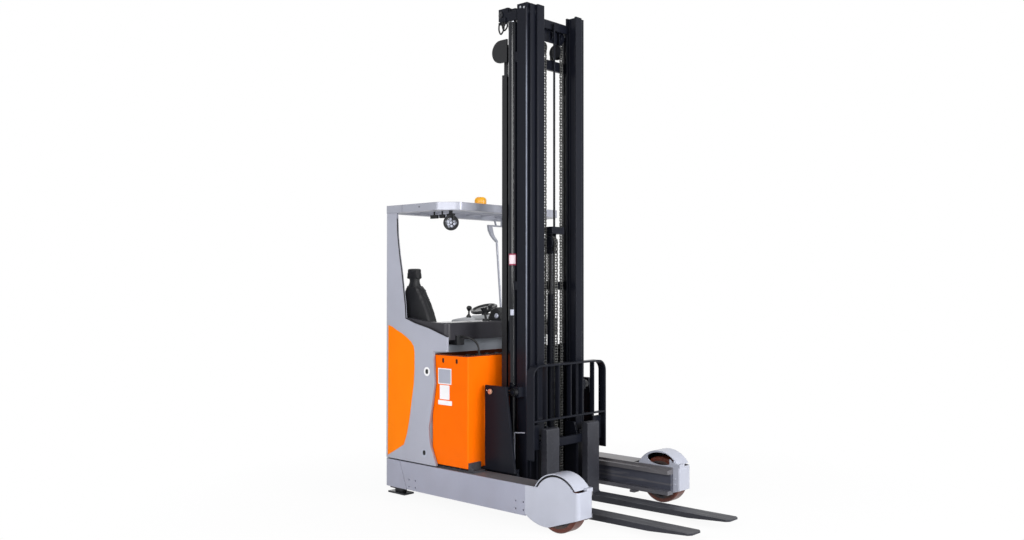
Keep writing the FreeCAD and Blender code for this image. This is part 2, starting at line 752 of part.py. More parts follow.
def cord_path(points):
    """Straight runs joined by tangent arcs, each as large as its shorter run allows."""
    places = [Vector(*p) for p in points]
    edges, start = [], places[0]
    for before, corner, after in zip(places, places[1:], places[2:]):
        a, b = before - corner, after - corner
        back = 0.45 * min(a.Length, b.Length)
        half_turn = (math.pi - a.getAngle(b)) / 2
        radius = back / math.tan(half_turn)
        print("cable arc radius", round(radius, 1))
        enter, leave = corner + a.normalize() * back, corner + b.normalize() * back
        inward = ((enter + leave) * 0.5 - corner).normalize()
        middle = corner + inward * (radius / math.cos(half_turn) - radius)
        edges.append(Part.LineSegment(start, enter).toShape())
        edges.append(Part.Arc(enter, middle, leave).toShape())
        start = leave
    edges.append(Part.LineSegment(start, places[-1]).toShape())
    return Part.Wire(edges)


def battery_cable():
    path = cord_path(cable_route)
    start, heading = Vector(*cable_route[0]), Vector(*cable_route[1]) - Vector(*cable_route[0])
    section = Part.Wire([Part.makeCircle(cable_radius, start, heading)])
    tube = path.makePipeShell([section], True, True)
    print("cable length", round(path.Length, 1), "volume by length",
          round(path.Length * math.pi * cable_radius ** 2),
          "volume", round(tube.Volume))
    return tube


save("battery_connector", *battery_connector())
save("battery_cable", battery_cable())

# ------------------------------------------------------------------ steering wheel
wheel_x = inside_rear + 140.0
wheel_y = drive_offset - 10.0
wheel_z = 1345.0
steering_tilt = math.radians(18.0)
steering_axis = Vector(0, -math.sin(steering_tilt), math.cos(steering_tilt))
wheel_hub_depth = 19.7


def steering_column():
    top = Vector(wheel_x, wheel_y, wheel_z) - steering_axis * (wheel_hub_depth + running_gap)
    foot = top - steering_axis * 75
    column = Part.makeCylinder(28, 75, foot, steering_axis)
    collar = Part.makeCylinder(42, 45, foot, steering_axis)
    return join([column, collar]).cut(console_hood())


def steering_wheel():
    """Rim with a dished disc in place of spokes, and a knob for turning with one hand."""
    centre = Vector(wheel_x, wheel_y, wheel_z)
    rim = Part.makeTorus(95, 13, centre, steering_axis)
    hub = Part.makeCylinder(30, wheel_hub_depth + 2, centre - steering_axis * wheel_hub_depth, steering_axis)
    disc = Part.makeCylinder(90, 8, centre - steering_axis * 6, steering_axis)
    knob_foot = centre + Vector(72, 0, 0)
    knob = Part.makeCylinder(17, 34, knob_foot, steering_axis)
    knob = knob.makeFillet(10,
                           [e for e in knob.Edges if e.Closed and (e.CenterOfMass - knob_foot).Length > 20])
    return join([rim, hub, disc, knob])


save("steering_column", steering_column())
save("steering_wheel", steering_wheel())

# ------------------------------------------------------------------ overhead guard
guard_half = half_width - 3.0
guard_frame = 60.0
guard_chamfer = (130.0, 100.0)
bar_depth = 30.0
bar_half = 14.0
bar_count = 7
bar_span = guard_half - guard_frame
post_radius = 9.0
post_x = chassis_rear + 35.0


def guard_plan(inset):
    r, f, h = chassis_rear + inset, guard_front - inset, guard_half - inset
    cut_x, cut_y = guard_chamfer
    return [(r, -h), (f - cut_x, -h), (f, -h + cut_y), (f, h - cut_y), (f - cut_x, h), (r, h)]


def guard_bar_y(i):
    return -bar_span + (i + 0.5) * 2 * bar_span / bar_count


def guard_post():
    """Thin post at the left rear corner, leaning inwards, with a curved strip and two short links."""
    w, top = wall_inner, 2018
    post = bar((post_x, w + 28, 1120), (post_x, w - 43, 1892), post_radius)
    strip = slab_yz([(w - 150, top), (w - 142, 1976), (w - 116, 1936), (w - 80, 1904), (w - 52, 1885),
                     (w - 34, 1885), (w - 40, 1900), (w - 68, 1926), (w - 86, 1954), (w - 104, top)],
                    (post_x - 8, post_x + 8))
    cross = bar((post_x, w - 150, top), (post_x, w + 21, top), 7)
    links = [bar((post_x, w + low, top), (post_x, w + high, guard_bottom + 4), 8)
             for low, high in ((-50, -68), (14, 14))]
    return [post.cut(side_panel_left()), strip, cross] + links


def overhead_guard():
    band = slab_xy(guard_plan(0), (guard_bottom, guard_top))
    band = band.makeFillet(60.0, vertical_edges(band, lambda c: c.x > guard_front - 200))
    band = band.makeFillet(30.0, vertical_edges(band, lambda c: c.x < chassis_rear + 1))
    pieces = [band.cut(slab_xy(guard_plan(guard_frame), (guard_bottom - 1, guard_top + 1)))]
    for i in range(bar_count):
        y = guard_bar_y(i)
        pieces.append(block((chassis_rear + guard_frame - 5, guard_front - guard_frame + 5),
                            (y - bar_half, y + bar_half),
                            (guard_top - bar_depth, guard_top)))
    return join(pieces + guard_post())


def beacon():
    """Flattened amber dome on a low base."""
    x, y = guard_front - 159, guard_bar_y(2)
    base = bar((x, y, guard_top), (x, y, guard_top + 12), 50)
    lens = bar((x, y, guard_top + 12), (x, y, guard_top + 67), 44)
    lens = lens.makeFillet(26.0, [e for e in lens.Edges if e.Closed and e.CenterOfMass.z > guard_top + 60])
    return join([base, lens])


def work_light():
    """Round lamp under the guard, facing forward, with a bezel round its lens."""
    x, y, z = guard_front - 115, guard_bar_y(0), 1976
    can = bar((x - 38, y, z), (x + 22, y, z), 47)
    bezel = bar((x + 14, y, z), (x + 30, y, z), 52)
    recess = bar((x + 24, y, z), (x + 31, y, z), 43)
    strap = block((x - 18, x - 2), (y - 12, y + 12), (z + 40, guard_top - bar_depth))
    return join([can, bezel, strap]).cut(recess)


save("overhead_guard", overhead_guard())
save("beacon", beacon())
save("work_light", work_light())

# ------------------------------------------------------------------ mast planes
outer_front = mast_front - 2 * mast_stagger
middle_front = mast_front - mast_stagger
outer_rear = outer_front - mast_rail_depth
middle_rear = middle_front - mast_rail_depth
inner_rear = mast_front - mast_rail_depth
outer_web = mast_half_width - mast_web
middle_web_outer = outer_web - guide_width
middle_web_inner = middle_web_outer - mast_web
inner_web_outer = middle_web_inner - guide_width - 1
inner_web_inner = inner_web_outer - mast_web
inner_edge = inner_web_inner - 23.0
outer_z = (mast_bottom, mast_top + 8.0)
stage_z = (mast_bottom + 4.0, mast_top)
guide_radius = (mast_rail_depth - 2 * mast_flange) / 2 - 0.6

# ------------------------------------------------------------------ reach carriage, tilt and reach cylinders
carriage_inner = arm_inner - clearance - 20.0
carriage_outer = arm_inner - clearance
carriage_rear = outer_front - 435.0
carriage_front = outer_front + 25.0
roller_radius = (rail_height - 2 * rail_flange) / 2 - 1.0
roller_z = rail_bottom + rail_flange + roller_radius + running_gap
roller_xs = (carriage_front - 140.0, carriage_rear + 30.0)
upper_plate = (440.0, 460.0)
shelf_z = chassis_top + 8.0
tilt_pin_x = outer_rear - 103.0
tilt_pin_z = 807.0
tilt_pin_radius = 14.0
tilt_rod_radius = 14.0
tilt_length = 148.0          # from the carriage pin to the mast pin
tilt_y = 385.0
mast_eye_x = tilt_pin_x + tilt_length
mast_pin_radius = 12.5
trunnion_radius = 30.0
tilt_axis_x = outer_rear + 40.0
tilt_axis_z = 150.0
reach_rod_radius = 20.0
reach_tube_x = (bumper_inner_x + plate, carriage_rear - 20.0)


def reach_carriage():
    """Two stepped side plates on rollers, tied low down across the truck."""
    low = [(carriage_rear, 100), (carriage_rear, 215), (carriage_rear + 160, 245),
           (carriage_rear + 170, shelf_z),
           (outer_front, shelf_z), (carriage_front, 200), (carriage_front, 100)]
    high = [(outer_rear - 157, shelf_z), (outer_rear - 157, tilt_pin_z + 41),
            (outer_rear + 36, tilt_pin_z + 41),
            (outer_front + 24, shelf_z)]
    pieces, holes = [], []
    for side in (-1, 1):
        pieces.append(slab_xz(low, (side * carriage_inner, side * carriage_outer)))
        pieces.append(block((carriage_rear + 170, outer_front + 5),
                            (side * carriage_inner, side * upper_plate[1]),
                            (shelf_z, shelf_z + 20)))
        pieces.append(slab_xz(high, (side * upper_plate[0], side * upper_plate[1])))
        for x in roller_xs:
            pieces.append(bar((x, side * carriage_outer, roller_z),
                              (x, side * (rail_outer - plate - running_gap), roller_z), roller_radius))
        holes.append(bar((tilt_pin_x, side * (upper_plate[0] - 10), tilt_pin_z),
                         (tilt_pin_x, side * (upper_plate[1] + 20), tilt_pin_z), tilt_pin_radius + pin_gap))
        holes.append(bar((tilt_axis_x, side * (carriage_inner - 1), tilt_axis_z),
                         (tilt_axis_x, side * (carriage_outer + 1), tilt_axis_z), trunnion_radius + pin_gap))
    pieces.append(block((carriage_rear, carriage_rear + 60), (-carriage_inner, carriage_inner), (105, 225)))
    pieces.append(block((outer_rear - 155, outer_rear - 110), (-carriage_inner, carriage_inner), (100, 240)))
    return join(pieces).cut(holes)


def tilt_cylinder(side):
    y, eye_y, x, z = side * tilt_y, side * (upper_plate[0] - 1), tilt_pin_x, tilt_pin_z
    tube = bar((x + 20, y, z), (x + 87, y, z), 32)
    eye = bar((x, side * (tilt_y - 25), z), (x, eye_y, z), 28)
    link = block((x, x + 24), (y - 14, y + 14), (z - 26, z + 26))
    pin = bar((x, eye_y, z), (x, side * (upper_plate[1] + 9), z), tilt_pin_radius)
    bore = bar((x + 35, y, z), (x + 88, y, z), tilt_rod_radius + pin_gap)
    return join([tube, eye, link, pin]).cut(bore)


def tilt_rod(side):
    y = side * tilt_y
    shaft = bar((tilt_pin_x + 66, y, tilt_pin_z), (mast_eye_x - 20, y, tilt_pin_z), tilt_rod_radius)
    eye = ring((mast_eye_x, y - 15, tilt_pin_z), (mast_eye_x, y + 15, tilt_pin_z), 26, mast_pin_radius + 1.5)
    return join([shaft, eye])


def reach_cylinder():
    tube = bar((reach_tube_x[0], 0, reach_z), (reach_tube_x[1], 0, reach_z), reach_tube_radius)
    gland = bar((reach_tube_x[1] - 24, 0, reach_z), (reach_tube_x[1], 0, reach_z), reach_tube_radius + 5)
    bore = bar((reach_tube_x[0] + 30, 0, reach_z), (reach_tube_x[1] + 1, 0, reach_z),
               reach_rod_radius + pin_gap)
    return join([tube, gland]).cut(bore)


save("reach_carriage", reach_carriage())
save("tilt_cylinders", *[tilt_cylinder(side) for side in (-1, 1)])
save("tilt_rods", *[tilt_rod(side) for side in (-1, 1)])
save("reach_cylinder", reach_cylinder())
save("reach_rod", bar((reach_tube_x[0] + 35, 0, reach_z), (carriage_rear, 0, reach_z), reach_rod_radius))

# ------------------------------------------------------------------ mast stages
tie_back = outer_rear - 26.0
outer_ties = ((120.0, 230.0), (1500.0, 1560.0), (3080.0, 3150.0))
cylinder_radius = 36.0
rod_radius = 19.0
cylinder_x = outer_rear - 50.0
cylinder_y = mast_half_width - 21.0
cylinder_bottom = 100.0
cylinder_top = mast_top - 108.0
beam_z = (mast_top - 96.0, mast_top - 40.0)
beam_half = cylinder_y + 24.0
beam_back = cylinder_x - 38.0

# lifting chains of the mast stages
pulley_radius = 40.0
chain_y = (76.0, 104.0)
chain_half = 8.0
chain_radius = 45.0          # middle of the chain round its sheave
sheave_x = middle_rear + 2.0
sheave_z = 3210.0
sheave_flange = 52.0
sheave_sides = (chain_y[0] - 4.0, chain_y[1] + 4.0)
sheave_axle = 11.0
hanger_y = (sheave_sides[1] + 1.0, sheave_sides[1] + 11.0)

# free lift of the fork carriage
free_x = mast_front - 60.0
free_y = -30.0
free_radius = 28.0
free_rod_radius = 18.0
free_bottom = 170.0
free_top = 1470.0
lift_sheave_z = 1835.0
lift_chain_radius = 42.0
lift_chain_y = (free_y - 18.0, free_y + 18.0)
pipe_x = inner_rear + 27.0
pipe_y = 12.0
pipe_radius = 8.0


def mast_rail(front, lips, web, z):
    """One rail on the right: two flanges across `lips`, one web across `web`."""
    rear = front - mast_rail_depth
    rail = join([block((front - mast_flange, front), (-lips[1], -lips[0]), z),
                 block((rear, rear + mast_flange), (-lips[1], -lips[0]), z),
                 block((rear, front), (-web[1], -web[0]), z)])
    corners = vertical_edges(rail, lambda c: abs(c.y + lips[1]) < 0.5
                             and (abs(c.x - front) < 0.5 or abs(c.x - rear) < 0.5))
    return rail.makeFillet(5.0, corners)


def crossbar(x, half, z):
    return block(x, (-half, half), z)


def mast_roller(rear, y, z):
    """Guide rollers between |y| = y[0] and y[1] in the rails that start at `rear`."""
    x = rear + mast_rail_depth / 2
    return [bar((x, side * y[0], z), (x, side * y[1], z), guide_radius) for side in (-1, 1)]


def outer_mast():
    pieces = both(mast_rail(outer_front, (middle_web_outer + clearance, mast_half_width),
                            (outer_web, mast_half_width), outer_z))
    saddle = [bar((cylinder_x, side * cylinder_y, mast_bottom), (cylinder_x, side * cylinder_y, mast_top),
                  cylinder_radius + running_gap) for side in (-1, 1)]
    for z in outer_ties:
        pieces.append(crossbar((tie_back, outer_rear), mast_half_width, z).cut(saddle))
    for side in (-1, 1):
        pieces.append(block((cylinder_x - cylinder_radius - 4, outer_rear),
                            (side * (cylinder_y - 39), side * mast_half_width),
                            (mast_bottom, cylinder_bottom)))
        pieces.append(block((mast_eye_x - 26, mast_eye_x + 26),
                            (side * mast_half_width, side * (tilt_y - 20)),
                            (tilt_pin_z - 34, tilt_pin_z + 34)))
        pieces.append(bar((mast_eye_x, side * (tilt_y - 20), tilt_pin_z),
                          (mast_eye_x, side * (tilt_y + 17), tilt_pin_z),
                          mast_pin_radius))
        pieces.append(bar((tilt_axis_x, side * mast_half_width, tilt_axis_z),
                          (tilt_axis_x, side * carriage_outer, tilt_axis_z), trunnion_radius))
    pieces += mast_roller(middle_rear, (middle_web_outer + running_gap, outer_web), stage_z[1] - 50)
    return join(pieces)


def mast_sheaves():
    """Sheaves of the lifting chains, hung from the middle stage's top beam."""
    pieces = []
    for side in (-1, 1):
        def disc(radius, low, high):
            return bar((sheave_x, side * low, sheave_z), (sheave_x, side * high, sheave_z), radius)
        groove = chain_radius - chain_half - running_gap
        pieces.append(disc(groove, *sheave_sides))
        pieces.append(disc(sheave_flange, sheave_sides[0], chain_y[0] - running_gap))
        pieces.append(disc(sheave_flange, chain_y[1] + running_gap, sheave_sides[1]))
        pieces.append(disc(sheave_axle, sheave_sides[0], hanger_y[1]))
        pieces.append(disc(2 * sheave_axle, *hanger_y))
        pieces.append(block((sheave_x - 20, sheave_x + 10), (side * hanger_y[0], side * hanger_y[1]),
                            (sheave_z, beam_z[0])))
    return pieces


def valve_plate():
    """Plate and hose valve at the right end of the middle stage's top beam."""
    y, x = -beam_half, beam_back
    plate_y = (y, y + 10)
    return [block((x - 82, x + 8), plate_y, (beam_z[0] + 13, mast_top + 2)),
            block((x - 62, x - 4), (plate_y[1], y + 51), (beam_z[0] + 13, beam_z[1] + 12)),
            bar((x - 18, y + 26, beam_z[1] + 12), (x - 18, y + 26, mast_top + 8), 16),
            bar((x - 46, y + 26, beam_z[1] + 12), (x - 46, y + 26, mast_top - 8), 9)]


def hose_pulleys():
    """Pair of hose pulleys under the top beam, to the left of the middle."""
    x, z = inner_rear - clearance - pulley_radius, beam_z[0] - 50
    pieces = [bar((x, low, z), (x, high, z), radius) for low, high, radius in
              ((34, 66, pulley_radius), (128, 168, pulley_radius), (24, 182, 12))]
    for low in (24, 176):
        pieces.append(block((x - 16, x + 16), (low, low + 6), (z - 14, beam_z[0])))
    return pieces


def middle_mast():
    pieces = both(mast_rail(middle_front, (inner_web_outer + clearance, outer_web - clearance),
                            (middle_web_inner, middle_web_outer), stage_z))
    pieces.append(crossbar((outer_rear + clearance, middle_rear), middle_web_outer, (90, 170)))
    pieces.append(crossbar((beam_back, outer_rear - clearance), beam_half, beam_z))
    pieces.append(crossbar((outer_rear - clearance, middle_rear), middle_web_outer, beam_z))
    pieces += mast_roller(outer_rear, (middle_web_outer, outer_web - running_gap), stage_z[0] + 60)
    pieces += mast_roller(inner_rear, (inner_web_outer + running_gap, middle_web_inner), stage_z[1] - 50)
    return join(pieces + mast_sheaves() + hose_pulleys() + valve_plate())


def inner_mast():
    pieces = both(mast_rail(mast_front, (inner_edge, middle_web_inner - 5),
                            (inner_web_inner, inner_web_outer), stage_z))
    tie_x = (inner_rear, inner_rear + mast_flange)
    foot_z = (free_bottom - 20, free_bottom)
    pieces.append(crossbar(tie_x, inner_edge, (100, foot_z[1])))
    pieces.append(crossbar(tie_x, inner_edge, (mast_top - 116, mast_top - 56)))
    pieces.append(block((inner_rear, free_x + free_radius), (free_y - free_radius, pipe_y + pipe_radius + 4),
                        foot_z))
    for side in (-1, 1):
        pieces.append(block((tie_x[1], sheave_x + chain_radius + chain_half),
                            (side * chain_y[0], side * chain_y[1]),
                            (foot_z[0] - 10, foot_z[1])))
    pieces.append(bar((pipe_x, pipe_y, foot_z[1]), (pipe_x, pipe_y, mast_top - 72), pipe_radius))
    for z in ((mast_top - 112, mast_top - 88), foot_z):
        pieces.append(block((inner_rear, pipe_x), (pipe_y - pipe_radius, pipe_y + pipe_radius), z))
    pieces += mast_roller(middle_rear, (inner_web_outer, middle_web_inner - running_gap), stage_z[0] + 60)
    return join(pieces)


def lift_barrel(side):
    y = side * cylinder_y
    barrel = bar((cylinder_x, y, cylinder_bottom), (cylinder_x, y, cylinder_top), cylinder_radius)
    bore = bar((cylinder_x, y, cylinder_bottom + 40), (cylinder_x, y, cylinder_top + 1), rod_radius + pin_gap)
    return barrel.cut(bore)


def lift_rod(side):
    y = side * cylinder_y
    return bar((cylinder_x, y, cylinder_bottom + 60), (cylinder_x, y, beam_z[0]), rod_radius)


save("outer_mast", outer_mast())
save("middle_mast", middle_mast())
save("inner_mast", inner_mast())
save("lift_cylinders", *[lift_barrel(side) for side in (-1, 1)])
save("lift_rods", *[lift_rod(side) for side in (-1, 1)])


def hung_chain(x, z, radius, y, ends):
    """Leaf chain over a sheave at (x, z): falls to ends[0] in front and ends[1] behind."""
    outer, inner = radius + chain_half, radius - chain_half
    over = ring((x, y[0], z), (x, y[1], z), outer, inner)
    over = over.cut(block((x - outer - 1, x + outer + 1), (y[0] - 1, y[1] + 1), (z - outer - 1, z)))
    return join([over, block((x + inner, x + outer), y, (ends[0], z)),
                 block((x - outer, x - inner), y, (ends[1], z))])


mast_chain = hung_chain(sheave_x, sheave_z, chain_radius, (-chain_y[1], -chain_y[0]),
                        (free_bottom, outer_ties[-1][1]))
save("mast_chains", *both(mast_chain))

# ------------------------------------------------------------------ free-lift cylinder, its crosshead and chain
bracket_top = 1280.0
carriage_bars = ((75.0, 140.0), (424.0, 481.0))
cheek_y = (free_y - 24.0, free_y - 18.0)
crosshead_half = 66.0
crosshead_z = (lift_sheave_z + 60.0, lift_sheave_z + 110.0)
crosshead_foot = (lift_sheave_z - 80.0, lift_sheave_z - 60.0)
hose_wheel_radius = 41.0


def free_lift_cylinder():
    barrel = bar((free_x, free_y, free_bottom), (free_x, free_y, free_top), free_radius)
    bore = bar((free_x, free_y, free_bottom + 15), (free_x, free_y, free_top + 1), free_rod_radius + pin_gap)
    bracket = block((free_x - lift_chain_radius - chain_half, free_x - 20), lift_chain_y,
                    (bracket_top - 30, bracket_top))
    return join([barrel, bracket]).cut(bore)


def lift_crosshead():
    """Head on the free-lift rod: chain sheave between two cheeks and a hose wheel beside it."""
    groove = lift_chain_radius - chain_half - running_gap
    pieces = [block((free_x - 40, free_x + 40), (-crosshead_half, crosshead_half), crosshead_z)]
    near, far = cheek_y
    mirror_near, mirror_far = 2 * free_y - far, 2 * free_y - near
    for low, high in ((near, far), (mirror_near, mirror_far)):
        pieces.append(block((free_x - 26, free_x + 26), (low, high), (crosshead_foot[0], crosshead_z[0] + 1)))
    pieces.append(block((free_x - 26, free_x + 26), (near, mirror_far), crosshead_foot))
    pieces.append(bar((free_x, far, lift_sheave_z), (free_x, mirror_near, lift_sheave_z), groove))
    pieces.append(bar((free_x, -crosshead_half, lift_sheave_z), (free_x, near - 3, lift_sheave_z),
                      hose_wheel_radius))
    pieces.append(bar((free_x, near - 4, lift_sheave_z), (free_x, mirror_far, lift_sheave_z), sheave_axle))
    slot = block((free_x - 41, pipe_x + pipe_radius + clearance), (pipe_y - pipe_radius - clearance,
                 pipe_y + pipe_radius + clearance), (crosshead_foot[0] - 1, crosshead_z[1] + 1))
    return join(pieces).cut(slot)


save("free_lift_cylinder", free_lift_cylinder())
save("free_lift_rod",
     bar((free_x, free_y, free_bottom + 20), (free_x, free_y, crosshead_foot[0]), free_rod_radius))
save("lift_crosshead", lift_crosshead())
save("carriage_chains", hung_chain(free_x, lift_sheave_z, lift_chain_radius, lift_chain_y,
                                   (carriage_bars[1][1], bracket_top)))

# ------------------------------------------------------------------ hose guard behind the right rail
guard_channel_y = (-mast_half_width - 2.0, -mast_half_width + 64.0)
hose_cover_x = outer_rear - 155.0
hose_cover_z = 3173.0
hose_cover_radius = 80.0
hose_flat_x = hose_cover_x + 62.0
hose_strip_top = 3003.0
hose_pulley_radius = 60.0


def hose_guard():
    """Tall channel for the hoses and the rounded cover over their pulley."""
    near, far = guard_channel_y
    rear, front = hose_cover_x + 18, hose_cover_x + 62
    strip = block((rear, front), (near, far), (300, hose_strip_top))
    strip = strip.cut(block((rear + 6, front + 1), (near + 6, far - 6), (299, hose_strip_top + 1)))
    cover = bar((hose_cover_x, near, hose_cover_z), (hose_cover_x, near + plate, hose_cover_z),
                hose_cover_radius)
    cover = join([cover, block((hose_cover_x, hose_flat_x), (near, near + plate),
                               (hose_cover_z - hose_cover_radius, hose_cover_z + hose_cover_radius))])
    cover = cover.cut(block((hose_flat_x, hose_flat_x + 100), (near - 1, near + plate + 1), (3000, 3400)))
    pulley = bar((hose_cover_x, near + plate, hose_cover_z), (hose_cover_x, far - 6, hose_cover_z),
                 hose_pulley_radius)
    bracket = block((hose_cover_x - 19, tie_back), (far - 6, far + 4),
                    (hose_strip_top - 60, outer_ties[-1][1]))
    return join([strip, cover, pulley, bracket])


save("hose_guard", hose_guard())

# ------------------------------------------------------------------ fork carriage, forks and backrest
bar_depth_x = 35.0
fork_bar_x = (fork_heel_face - shank_thickness - 1.0 - bar_depth_x, fork_heel_face - shank_thickness - 1.0)
fork_bar_half = fork_spread / 2 + 10.0
carriage_cheek_y = (inner_edge - 34.0, inner_edge - 14.0)
hook_height = 22.0
fork_y = (fork_spread - fork_width) / 2
heel = fork_heel_face - shank_thickness


def fork_carriage():
    """Two cross bars on roller cheeks, with the anchor of the lifting chain."""
    pieces = [crossbar(fork_bar_x, fork_bar_half, z) for z in carriage_bars]
    for side in (-1, 1):
        cheek = [(inner_rear + mast_flange + clearance, 95), (inner_rear + mast_flange + clearance, 560),
                 (mast_front + 5, 560), (fork_bar_x[0] + 1, carriage_bars[1][1]),
                 (fork_bar_x[0] + 1, carriage_bars[0][0])]
        pieces.append(slab_xz(cheek, (side * carriage_cheek_y[0], side * carriage_cheek_y[1])))
        for z in (150.0, 500.0):
            x = mast_front - mast_rail_depth / 2
            pieces.append(bar((x, side * carriage_cheek_y[1], z), (x, side * (inner_web_inner - 3), z),
                              guide_radius))
    anchor_x = free_x + lift_chain_radius - chain_half
    pieces.append(block((anchor_x, fork_bar_x[0] + 1), (lift_chain_y[0] + 3, lift_chain_y[1] - 3),
                        (carriage_bars[1][0], carriage_bars[1][1])))
    return join(pieces)


def fork(side):
    """Blade with a flat top and an underside that rises towards a rounded tip."""
    y0 = side * fork_y
    top = fork_bottom + fork_thickness
    profile = [(heel, shank_top), (fork_heel_face, shank_top), (fork_heel_face, top), (fork_tip, top),
               (fork_tip, top - fork_tip_thickness), (fork_tip - 300, fork_bottom + 8),
               (fork_heel_face + 60, fork_bottom),
               (heel, fork_bottom)]
    body = slab_xz(profile, (y0 - fork_width / 2, y0 + fork_width / 2))
    heels = cross_edges(body, lambda c: c.z < fork_bottom + 1 and c.x < heel + 1)
    body = body.makeFillet(24.0, heels)
    body = body.makeFillet(16.0,
                           cross_edges(body, lambda c: abs(c.z - top) < 1 and abs(c.x - fork_heel_face) < 1))
    body = body.makeFillet(14.0, cross_edges(body, lambda c: c.z > shank_top - 1 and c.x > heel + 1))
    body = body.makeChamfer(20.0, vertical_edges(body, lambda c: c.x > fork_tip - 1))
    pieces = [body]
    for bar_edge, away in ((carriage_bars[1][1], 1), (carriage_bars[0][0], -1)):
        inner_face = bar_edge + away * running_gap
        pieces.append(block((fork_bar_x[0] - 12, heel + 2), (y0 - 40, y0 + 40),
                            (inner_face, inner_face + away * hook_height)))
        pieces.append(block((fork_bar_x[0] - 12, fork_bar_x[0] - running_gap), (y0 - 40, y0 + 40),
                            (inner_face, inner_face - away * 18)))
    return join(pieces)


backrest_half = 400.0
backrest_top_z = 996.0
backrest_front = fork_heel_face - 23.0
backrest_side_depth = 60.0
backrest_low = 365.0
rail_low_z = 616.0


def load_backrest():
    """Flat bar bent to an upside-down U, a lower rail, five uprights and two ties to the carriage."""
    x = (backrest_front - backrest_side_depth, backrest_front)
    hoop = block(x, (-backrest_half, backrest_half), (backrest_low, backrest_top_z))
    crown = edges_along(hoop, Vector(1, 0, 0), lambda c: c.z > backrest_top_z - 1)
    hoop = hoop.makeFillet(80.0, crown)
    room = block((x[0] - 1, x[1] + 1), (-backrest_half + plate, backrest_half - plate),
                 (backrest_low - 1, backrest_top_z - plate))
    room = room.makeFillet(80.0 - plate,
                           edges_along(room, Vector(1, 0, 0), lambda c: c.z > backrest_top_z - plate - 1))
    pieces = [hoop.cut(room)]
    inside = backrest_half - plate
    pieces.append(block((x[1] - 24, x[1]), (-inside, inside), (rail_low_z, rail_low_z + plate)))
    for i in range(1, 6):
        y = -inside + i * inside / 3
        pieces.append(block((x[1] - 36, x[1]), (y - 4, y + 4), (rail_low_z, backrest_top_z - plate / 2)))
    for side in (-1, 1):
        pieces.append(block((fork_bar_x[0] + 8, fork_bar_x[0] + 24), (side * fork_bar_half, side * inside),
                            (carriage_bars[1][0], carriage_bars[1][1] + 110)))
    return join(pieces)


save("fork_carriage", fork_carriage())
save("forks", fork(-1), fork(1))
save("load_backrest", load_backrest())
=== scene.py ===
import itertools
import json
import math

import bmesh
import bpy
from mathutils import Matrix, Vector


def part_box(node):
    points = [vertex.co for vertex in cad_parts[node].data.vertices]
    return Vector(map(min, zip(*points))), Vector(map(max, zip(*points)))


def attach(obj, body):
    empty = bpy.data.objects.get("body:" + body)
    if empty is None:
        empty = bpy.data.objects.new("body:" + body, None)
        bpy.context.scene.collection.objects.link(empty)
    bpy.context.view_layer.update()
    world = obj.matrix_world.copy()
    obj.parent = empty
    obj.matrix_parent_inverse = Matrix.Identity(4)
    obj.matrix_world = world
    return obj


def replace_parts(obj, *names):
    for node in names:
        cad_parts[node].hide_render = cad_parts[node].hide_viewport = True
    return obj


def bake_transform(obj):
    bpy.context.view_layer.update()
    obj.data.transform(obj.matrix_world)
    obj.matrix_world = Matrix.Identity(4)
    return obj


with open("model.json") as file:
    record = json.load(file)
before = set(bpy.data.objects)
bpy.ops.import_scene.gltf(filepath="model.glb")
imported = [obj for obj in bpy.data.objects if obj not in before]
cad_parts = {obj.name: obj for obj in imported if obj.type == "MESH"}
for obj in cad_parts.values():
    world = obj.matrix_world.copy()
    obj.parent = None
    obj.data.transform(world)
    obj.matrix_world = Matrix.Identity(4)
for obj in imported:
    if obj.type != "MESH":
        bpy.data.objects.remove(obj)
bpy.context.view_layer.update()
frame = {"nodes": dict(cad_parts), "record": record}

LOAD_AXLE_X = 0.445            # the load wheels' axle, from which the truck is laid out


def at(x, y, z):
    """Place given from the load axle, as a point of the row frame."""
    return Vector((x + LOAD_AXLE_X, y, z))


def add_object(name, data):
    obj = bpy.data.objects.new(name, data)
    bpy.context.collection.objects.link(obj)
    return obj


# ------------------------ camera at the photographed view
CAMERA_FROM_AXLE = Vector((3.7827, -5.1424, 1.5466))
CAMERA_YAW = math.radians(42.6149)
CAMERA_PITCH = math.radians(0.8058)
CAMERA_ROLL = math.radians(-0.0356)
LENS_MM = 33.347
SENSOR_MM = 36.0


def add_camera():
    data = bpy.data.cameras.new("view")
    data.lens = LENS_MM
    data.sensor_width = SENSOR_MM
    camera = add_object("view", data)
    camera.location = at(*CAMERA_FROM_AXLE)
    camera.rotation_euler = (math.pi / 2 + CAMERA_PITCH, CAMERA_ROLL, CAMERA_YAW)
    bpy.context.scene.camera = camera


add_camera()


# ------------------------ node graphs
BEVEL_SAMPLES = 4
DUST = "6f6a63"
NO_STRETCH = (1.0, 1.0, 1.0)


def rgb(code):
    """Linear colour of an sRGB hex code."""
    parts = [int(code[i:i + 2], 16) / 255 for i in (0, 2, 4)]
    return tuple(c / 12.92 if c <= 0.04045 else ((c + 0.055) / 1.055) ** 2.4 for c in parts) + (1.0,)


def scaled(colour, factor):
    return tuple(min(1.0, c * factor) for c in colour[:3]) + (1.0,)


